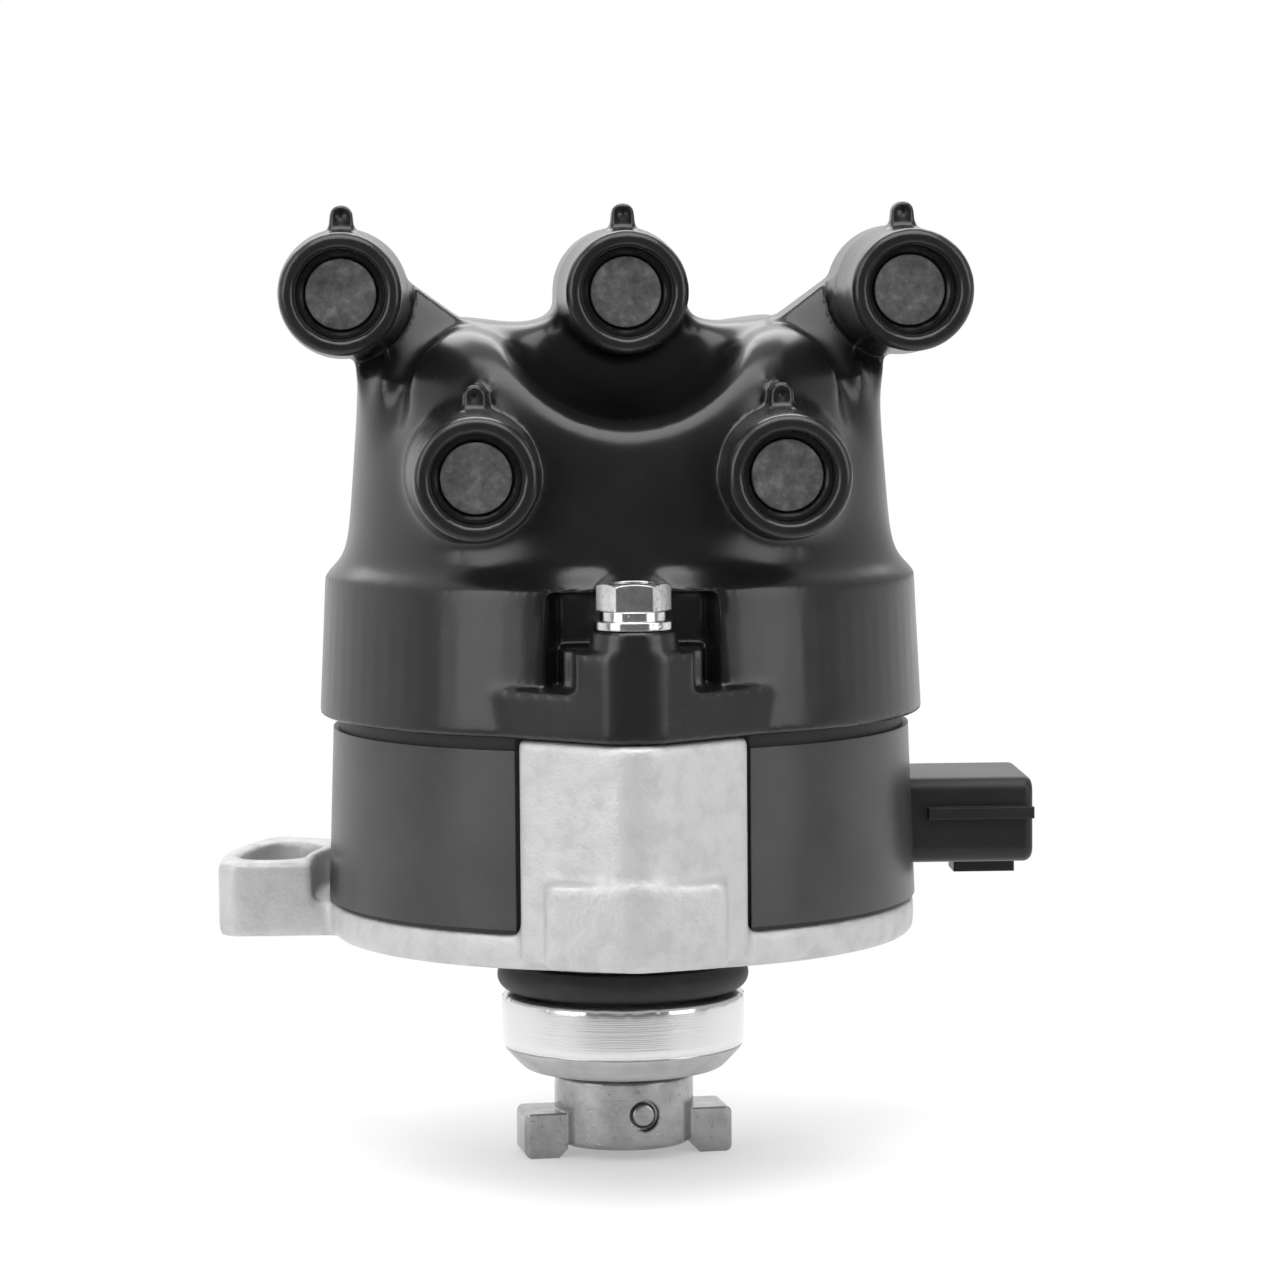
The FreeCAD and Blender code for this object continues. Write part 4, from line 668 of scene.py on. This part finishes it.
def finishes() -> dict[Slot, bpy.types.Material]:
    """Make a material for each slot.

    Returns:
        The materials by slot.
    """
    recipes = {
        Slot.CAST_ALUMINIUM: CastFinish(),
        Slot.STEEL: Machined(level=0.36, rough=0.2, mark=0.01, edge=0.4),
        Slot.BEARING_STEEL: Machined(level=0.6, rough=0.16, mark=0.002),
        Slot.ZINC: Machined(level=0.74, rough=0.13, mark=0.003, edge=0.25),
        Slot.RING_PLASTIC: Moulding(
            level=0.032, rough=0.3, specular=0.45, peel=0.008, wave=0.02, edge=0.25,
        ),
        Slot.CAP_PLASTIC: Moulding(level=0.009, rough=0.25, specular=0.5, peel=0.008, wave=0.03),
        Slot.CONNECTOR_PLASTIC: Moulding(
            level=0.015, rough=0.38, specular=0.3, peel=0.01, wave=0.02, edge=0.3,
        ),
        Slot.SENSOR_PLASTIC: Moulding(level=0.02, rough=0.5, specular=0.4, peel=0.02, edge=0.2),
        Slot.ROTOR_PLASTIC: TintedPlastic(),
        Slot.CARBON: Moulding(level=0.014, rough=0.62, specular=0.3, peel=0.02, edge=0.1),
        Slot.RUBBER: RubberFinish(),
        Slot.CONTACT_METAL: ContactFinish(),
        Slot.BRASS: TintedMetal(dark=(0.5, 0.34, 0.12), light=(0.75, 0.56, 0.25), rough=0.28),
        Slot.BRONZE: TintedMetal(dark=(0.32, 0.19, 0.09), light=(0.5, 0.32, 0.16), rough=0.5),
    }
    return {slot: recipe.make(slot.value) for slot, recipe in recipes.items()}


def dress(obj: bpy.types.Object, material: bpy.types.Material) -> None:
    """Give an object one material all over."""
    obj.data.materials.clear()
    obj.data.materials.append(material)


def dress_frame(materials: dict[Slot, bpy.types.Material]) -> None:
    """Give every CAD node the material of its slot."""
    for part in frame["record"]["subparts"]:
        dress(frame["nodes"][part["node"]], materials[Slot(part["material_slot"])])


@dataclass
class StandIn:
    """A piece that stands for one CAD node, as a copy of its mesh unless shape() changes it."""

    node: str
    piece: str
    slot: Slot
    body: str = "base"

    def source(self) -> bpy.types.Mesh:
        """Return a copy of the node's mesh."""
        return frame["nodes"][self.node].data.copy()

    def shape(self) -> bpy.types.Mesh:
        """Return the piece's mesh."""
        return self.source()

    def declare(self, obj: bpy.types.Object) -> None:
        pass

    def build(self, materials: dict[Slot, bpy.types.Material]) -> bpy.types.Object:
        """Make the piece in its node's place.

        Args:
            materials: The materials by slot.

        Returns:
            The finished piece.
        """
        mesh = self.shape()
        mesh.name = self.piece
        mesh.update()
        obj = bpy.data.objects.new(self.piece, mesh)
        bpy.context.scene.collection.objects.link(obj)
        dress(obj, materials[self.slot])
        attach(obj, self.body)
        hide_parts(self.node)
        self.declare(obj)
        LOG.info("%s: %d faces", self.piece, len(mesh.polygons))
        return obj


@dataclass
class SoftEdged(StandIn):
    """A CAD node made again as one skin, with the small radii that a mould leaves.

    Its sizes are in millimetres. One pass of softening draws a point toward its neighbours by
    the share that pull says.
    """

    voxel: float = 0.5
    weld: float = 0.002
    pull: float = 0.5
    passes: int = 6
    blend_passes: int = 0
    fill_passes: int = 0

    def keep(self, points: np.ndarray) -> np.ndarray:
        """Return how far each point may be softened, from 0 to 1."""
        return np.ones(len(points))

    def blend(self, points: np.ndarray) -> np.ndarray:
        """Return how far each point joins the wide blends between large forms, from 0 to 1."""
        return np.zeros(len(points))

    def fill(self, points: np.ndarray) -> np.ndarray:
        """Return how far each point joins the widest blends, from 0 to 1."""
        return np.zeros(len(points))

    def lean(self, points: np.ndarray) -> np.ndarray:
        """Return how far back each point leans, in millimetres."""
        return np.zeros(len(points))

    def skin(self) -> bpy.types.Mesh:
        """Wrap the node's outside in a close, even net of faces.

        Returns:
            The new mesh.
        """
        draft = bpy.data.objects.new(f"{self.piece}_draft", self.source())
        bpy.context.scene.collection.objects.link(draft)
        weld = draft.modifiers.new("weld", "WELD")
        weld.merge_threshold = self.weld * MM
        net = draft.modifiers.new("net", "REMESH")
        net.mode = "VOXEL"
        net.voxel_size = self.voxel * MM
        net.use_smooth_shade = True
        ready = draft.evaluated_get(bpy.context.evaluated_depsgraph_get())
        mesh = bpy.data.meshes.new_from_object(ready)
        bpy.data.objects.remove(draft)
        return mesh

    def soften(self, mesh: bpy.types.Mesh) -> None:
        """Draw each point toward its neighbours, then lean it, inside the node's own box.

        Args:
            mesh: The skin to soften.
        """
        count = len(mesh.vertices)
        flat = np.empty(count * 3)
        mesh.vertices.foreach_get("co", flat)
        points = flat.reshape(-1, 3)
        ends = np.empty(len(mesh.edges) * 2, np.int32)
        mesh.edges.foreach_get("vertices", ends)
        first, second = ends.reshape(-1, 2).T
        degree = np.maximum(np.bincount(ends, minlength=count), 1)
        stages = (
            (self.keep(points / MM), self.passes),
            (self.blend(points / MM), self.blend_passes),
            (self.fill(points / MM), self.fill_passes),
        )
        for share, passes in stages:
            for _ in range(passes):
                total = np.stack([
                    np.bincount(first, points[second, axis], count)
                    + np.bincount(second, points[first, axis], count)
                    for axis in range(3)
                ], axis=1)
                points += (self.pull * share)[:, None] * (total / degree[:, None] - points)
        points[:, 1] += self.lean(points / MM) * MM
        low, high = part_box(self.node)
        np.clip(points, np.array(low), np.array(high), out=points)
        mesh.vertices.foreach_set("co", points.ravel())
        mesh.update()

    def shape(self) -> bpy.types.Mesh:
        """Make the softened skin.

        Returns:
            The new mesh.
        """
        mesh = self.skin()
        self.soften(mesh)
        mesh.polygons.foreach_set("use_smooth", np.ones(len(mesh.polygons), bool))
        return mesh


def ramp_up(values: np.ndarray, low: float, high: float) -> np.ndarray:
    """Return 0 below low, 1 above high and an even rise between."""
    return np.clip((values - low) / (high - low), 0.0, 1.0)


def add_prism(shape: bmesh.types.BMesh, outline: Outline, depth: Span, side: int) -> None:
    """Add a closed prism that runs from front to back.

    Args:
        shape: The mesh it is added to, in metres.
        outline: The x and z of its corners, in millimetres.
        depth: The y of its two ends, in millimetres.
        side: 1 as the outline says, -1 for its mirror image.
    """
    front, back = (
        [shape.verts.new(Vector((side * x, y, z)) * MM) for x, z in outline] for y in depth
    )
    faces = [shape.faces.new(front), shape.faces.new(list(reversed(back)))]
    for i in range(len(outline)):
        j = (i + 1) % len(outline)
        faces.append(shape.faces.new((front[j], front[i], back[i], back[j])))
    bmesh.ops.recalc_face_normals(shape, faces=faces)


@dataclass(frozen=True)
class LeadTower:
    """Where one lead tower of the cap stands, in millimetres."""

    x: float
    z: float
    tab_back: float
    radius: float = 7.9
    margin: float = 0.4
    tab_half: float = 2.2
    tab_rise: float = 11.8

    def far(self, points: np.ndarray, reach: float) -> np.ndarray:
        """Return how far each point is from the tower's side.

        Args:
            points: The skin's points in millimetres.
            reach: The distance at which the share is full.

        Returns:
            One share per point, 0 at the side and 1 beyond reach.
        """
        distance = np.hypot(points[:, 0] - self.x, points[:, 2] - self.z)
        near = self.radius + self.margin
        return ramp_up(distance, near, near + reach)

    def tab(self, points: np.ndarray) -> np.ndarray:
        """Return which points are on the key tab over the tower.

        Args:
            points: The skin's points in millimetres.

        Returns:
            One truth value per point.
        """
        x, y, z = points.T
        level = (z > self.z + self.radius) & (z < self.z + self.tab_rise)
        return level & (np.abs(x - self.x) < self.tab_half) & (y < self.tab_back)


@dataclass
class CapMoulding(SoftEdged):
    """The cap: crisp towers and tabs on a body whose lobes, arms and scoop flow together.

    A pair named for a side, level, front or back is where a region's share starts to rise and
    where it is full.
    """

    node: str = "distributor_cap"
    piece: str = "cap_moulding"
    slot: Slot = Slot.CAP_PLASTIC
    voxel: float = 0.42
    blend_passes: int = 55
    fill_passes: int = 170
    tower_face: float = -22.0
    tower_share: float = 0.7
    tab_share: float = 0.7
    foot: float = 31.5
    foot_share: float = 0.3
    blend_low: Span = (47.0, 53.0)
    blend_front: Span = (-37.5, -34.0)
    blend_reach: float = 2.5
    leg_side: Span = (21.0, 25.0)
    leg_top: Span = (68.0, 71.0)
    scoop_side: Span = (17.0, 21.0)
    scoop_level: Span = (60.0, 64.0)
    arm_side: Span = (18.0, 19.5)
    arm_level: Span = (71.5, 73.0)
    arm_share: float = 0.12
    arm_front: Span = (-16.0, -14.3)
    arm_back: Span = (-8.0, 0.0)
    arm_foot: float = 72.5
    arm_lean: float = 0.5
    lean_reach: float = 0.6
    gusset: Outline = ((25.2, 74.2), (29.5, 74.2), (31.0, 82.5), (27.6, 84.8), (26.6, 80.0))
    gusset_depth: Span = (-14.0, 0.5)
    towers: tuple[LeadTower, ...] = (
        LeadTower(x=-35.4, z=83.6, tab_back=-15.4),
        LeadTower(x=0.0, z=83.6, tab_back=-15.4),
        LeadTower(x=35.4, z=83.6, tab_back=-15.4),
        LeadTower(x=-19.0, z=61.2, tab_back=-28.4),
        LeadTower(x=19.0, z=61.2, tab_back=-28.4),
    )

    def source(self) -> bpy.types.Mesh:
        """Copy the node's mesh and set a gusset between each arm and its tower.

        Returns:
            The new mesh.
        """
        shape = bmesh.new()
        shape.from_mesh(frame["nodes"][self.node].data)
        for side in (-1, 1):
            add_prism(shape, self.gusset, self.gusset_depth, side)
        mesh = bpy.data.meshes.new(f"{self.piece}_source")
        shape.to_mesh(mesh)
        shape.free()
        return mesh

    def keep(self, points: np.ndarray) -> np.ndarray:
        """Say how far each point may be softened: less at the towers' faces, the tabs and the foot.

        Args:
            points: The skin's points in millimetres.

        Returns:
            One share per point.
        """
        share = np.where(points[:, 1] < self.tower_face, self.tower_share, 1.0)
        share[points[:, 2] < self.foot] = self.foot_share
        for tower in self.towers:
            share[tower.tab(points)] = self.tab_share
        return share

    def arms(self, points: np.ndarray) -> np.ndarray:
        """Return which points are on the arms that carry the outer towers, from 0 to 1."""
        side = ramp_up(np.abs(points[:, 0]), *self.arm_side)
        return side * ramp_up(points[:, 2], *self.arm_level)

    def blend(self, points: np.ndarray) -> np.ndarray:
        """Say how far each point joins the blends of the dome, which the towers stay out of.

        Args:
            points: The skin's points in millimetres.

        Returns:
            One share per point.
        """
        share = ramp_up(points[:, 2], *self.blend_low) * ramp_up(points[:, 1], *self.blend_front)
        share *= 1.0 - (1.0 - self.arm_share) * self.arms(points)
        for tower in self.towers:
            share *= tower.far(points, self.blend_reach)
            share[tower.tab(points)] = 0.0
        return share

    def fill(self, points: np.ndarray) -> np.ndarray:
        """Say how far each point joins the widest blends: round the scoop and under the arms.

        Args:
            points: The skin's points in millimetres.

        Returns:
            One share per point.
        """
        side = np.abs(points[:, 0])
        legs = ramp_up(side, *self.leg_side) * (1.0 - ramp_up(points[:, 2], *self.leg_top))
        scoop = (1.0 - ramp_up(side, *self.scoop_side)) * ramp_up(points[:, 2], *self.scoop_level)
        return self.blend(points) * np.maximum(legs, scoop)

    def lean(self, points: np.ndarray) -> np.ndarray:
        """Say how far back each point of the arms' front faces leans, more as it rises.

        Args:
            points: The skin's points in millimetres.

        Returns:
            One distance in millimetres per point.
        """
        share = self.arms(points) * ramp_up(points[:, 1], *self.arm_front)
        share *= 1.0 - ramp_up(points[:, 1], *self.arm_back)
        for tower in self.towers:
            share *= tower.far(points, self.lean_reach)
        return share * self.arm_lean * np.maximum(points[:, 2] - self.arm_foot, 0.0)


@dataclass
class HousingCasting(SoftEdged):
    """The housing: its machined pilot and seats stay crisper than its cast sides."""

    node: str = "housing"
    piece: str = "housing_casting"
    slot: Slot = Slot.CAST_ALUMINIUM
    passes: int = 7
    seat: float = -0.1
    lead: float = -14.6
    seat_share: float = 0.3

    def keep(self, points: np.ndarray) -> np.ndarray:
        """Return how far each point may be softened: less on the machined pilot."""
        machined = (points[:, 2] < self.seat) & (points[:, 2] > self.lead)
        return np.where(machined, self.seat_share, 1.0)


@dataclass
class CapScrews(StandIn):
    """The cap's two hexagon screws, turned to the angle they were tightened to.

    Their reach from the shaft is in millimetres and their turn in degrees.
    """

    node: str = "cap_screws"
    piece: str = "tightened_screws"
    slot: Slot = Slot.ZINC
    reach: float = 41.0
    turn: float = -13.0

    def shape(self) -> bpy.types.Mesh:
        """Turn each screw on its own axis.

        Returns:
            The mesh of both screws.
        """
        mesh = self.source()
        spin = Matrix.Rotation(math.radians(self.turn), 4, "Z")
        for side in (-1, 1):
            axis = Vector((0.0, side * self.reach * MM, 0.0))
            move = Matrix.Translation(axis) @ spin @ Matrix.Translation(-axis)
            for vertex in mesh.vertices:
                if vertex.co.y * side > 0:
                    vertex.co = move @ vertex.co
        return mesh


@dataclass
class BrushSpring(StandIn):
    """The coil over the carbon brush."""

    node: str = "brush_spring"
    piece: str = "brush_coil"
    slot: Slot = Slot.BEARING_STEEL
    joint: str = "brush_slide"

    def declare(self, obj: bpy.types.Object) -> None:
        """Give the piece its own copy of its mesh.

        Args:
            obj: The finished piece.
        """
        low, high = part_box(self.node)
        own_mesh(obj)


@dataclass
class PhotographView:
    """The camera of the photograph, worked out from its scale and its leaning lines.

    The picture's side and the focal length are in pixels, the sensor in millimetres, other
    lengths in metres and angles in degrees.
    """

    picture: float = 1280.0
    focal: float = 4500.0
    sensor: float = 36.0
    distance: float = 0.5895
    target: Point = (0.0026, 0.0, 0.038)
    azimuth: float = -2.6
    elevation: float = 4.7
    roll: float = -0.45
    clip: Span = (0.01, 30.0)

    def set_up(self) -> None:
        """Make the camera and look through it."""
        data = bpy.data.cameras.new("photograph_camera")
        data.sensor_width = self.sensor
        data.lens = self.sensor * self.focal / self.picture
        data.clip_start, data.clip_end = self.clip
        camera = bpy.data.objects.new("photograph_camera", data)
        bpy.context.scene.collection.objects.link(camera)
        turn = math.radians(self.azimuth)
        rise = math.radians(self.elevation)
        level = math.cos(rise)
        back = Vector((math.sin(turn) * level, -math.cos(turn) * level, math.sin(rise)))
        camera.location = Vector(self.target) + back * self.distance
        facing = back.to_track_quat("Z", "Y").to_matrix().to_4x4()
        lean = Matrix.Rotation(math.radians(self.roll), 4, "Z")
        camera.matrix_world = Matrix.Translation(camera.location) @ facing @ lean
        bpy.context.scene.camera = camera
        LOG.info("camera: %.1f mm lens", data.lens)


@dataclass(frozen=True)
class Softbox:
    """One rectangular lamp: its place, size and aim in metres and its power in watts."""

    name: str
    place: Point
    size: Span
    power: float
    aim: Point = (0.0, 0.0, 0.03)

    def hang(self) -> None:
        """Make the lamp."""
        data = bpy.data.lights.new(self.name, "AREA")
        data.shape = "RECTANGLE"
        data.size, data.size_y = self.size
        data.energy = self.power
        lamp = bpy.data.objects.new(self.name, data)
        bpy.context.scene.collection.objects.link(lamp)
        place = Vector(self.place)
        facing = (Vector(self.aim) - place).to_track_quat("-Z", "Y")
        lamp.matrix_world = Matrix.Translation(place) @ facing.to_matrix().to_4x4()
        LOG.info("%s: %.1f W", self.name, self.power)


@dataclass
class Studio:
    """The white room: floor, world and lamps.

    The floor's half width is in metres. The reaches of its shadow and of its glow from the
    shaft are in millimetres. The world's spans are shares of a direction's Y and X.
    """

    floor_half: float = 3.0
    floor_level: float = 0.9
    floor_rough: float = 0.8
    floor_specular: float = 0.2
    front_glow: float = 0.2
    glow_reach: Span = (-260.0, 60.0)
    shadow_reach: Span = (35.0, 170.0)
    shadow_fill: float = 0.35
    depth_span: Span = (-0.8, 0.3)
    front_level: float = 0.14
    back_level: float = 1.0
    right_span: Span = (0.0, 0.6)
    right_level: float = 0.55
    boxes: tuple[Softbox, ...] = (
        Softbox("softbox_top", place=(0.0, -0.3, 0.75), size=(0.9, 0.6), power=6.2),
        Softbox("softbox_back", place=(0.0, 0.6, 0.55), size=(1.2, 0.4), power=3.5),
        Softbox("softbox_left", place=(-0.62, -0.44, 0.2), size=(0.4, 0.8), power=2.9),
        Softbox("softbox_right", place=(0.62, -0.44, 0.2), size=(0.4, 0.8), power=2.6),
    )

    def floor(self) -> None:
        """Lay a pale floor under the drive dogs that runs out into white."""
        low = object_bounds()[0][2]
        half = self.floor_half
        mesh = bpy.data.meshes.new("floor")
        corners = [(-half, -half, low), (half, -half, low), (half, half, low), (-half, half, low)]
        mesh.from_pydata(corners, [], [(0, 1, 2, 3)])
        floor = bpy.data.objects.new("floor", mesh)
        bpy.context.scene.collection.objects.link(floor)
        floor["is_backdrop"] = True
        dress(floor, self.floor_material())

    def floor_material(self) -> bpy.types.Material:
        """Make the floor's white, plain white beyond the object's shadow.

        Returns:
            The floor's material. Glossy reflections find it dimmer toward the front of the room.
        """
        r = Recipe("floor_white")
        r.surface(grey(self.floor_level), self.floor_rough, specular=self.floor_specular)
        flat = r.stretched((1.0, 1.0, 0.0))
        away = r.node("ShaderNodeVectorMath", operation="LENGTH")
        r.join(flat, away.inputs[0])
        path = r.node("ShaderNodeLightPath")
        seen = path.outputs["Is Camera Ray"]
        depth = r.levels(r.step(r.axis(r.place, "Y"), self.glow_reach), self.front_glow, 1.0)
        glow = r.node("ShaderNodeEmission")
        r.join(r.maths("MAXIMUM", seen, depth), glow.inputs["Strength"])
        blend = r.node("ShaderNodeMixShader")
        either = r.maths("MAXIMUM", seen, path.outputs["Is Glossy Ray"])
        share = r.levels(r.step(away.outputs["Value"], self.shadow_reach), self.shadow_fill, 1.0)
        r.join(r.multiply(share, either), blend.inputs[0])
        r.join(r.shader.outputs["BSDF"], blend.inputs[1])
        r.join(glow.outputs["Emission"], blend.inputs[2])
        r.join(blend.outputs["Shader"], r.output.inputs["Surface"])
        return r.material

    def world(self) -> None:
        """Make the room white behind the object, dim on the camera's side and on the right."""
        world = bpy.data.worlds.new("white_room")
        world.use_nodes = True
        room = Graph(world.node_tree)
        output = room.node("ShaderNodeOutputWorld")
        back = room.node("ShaderNodeBackground")
        place = room.node("ShaderNodeTexCoord").outputs["Generated"]
        depths = (self.front_level, self.back_level)
        depth = room.step(room.axis(place, "Y"), self.depth_span, depths)
        right = room.step(room.axis(place, "X"), self.right_span, (1.0, self.right_level))
        seen = room.node("ShaderNodeLightPath").outputs["Is Camera Ray"]
        strength = room.maths("MAXIMUM", room.multiply(depth, right), seen)
        room.feed(back.inputs["Color"], grey(1.0))
        room.join(strength, back.inputs["Strength"])
        room.join(back.outputs["Background"], output.inputs["Surface"])
        bpy.context.scene.world = world

    def build(self) -> None:
        """Make the whole room."""
        self.floor()
        self.world()
        for box in self.boxes:
            box.hang()
        bpy.context.scene.view_settings.view_transform = "Standard"


def main() -> None:
    """Dress the object and light it."""
    logging.basicConfig(level=logging.INFO, format="%(name)s: %(message)s")
    materials = finishes()
    dress_frame(materials)
    LOG.info("dressed %d CAD nodes", len(frame["nodes"]))
    for piece in (CapMoulding(), HousingCasting(), CapScrews(), BrushSpring()):
        piece.build(materials)
    PhotographView().set_up()
    Studio().build()


if __name__ == "__main__":
    main()
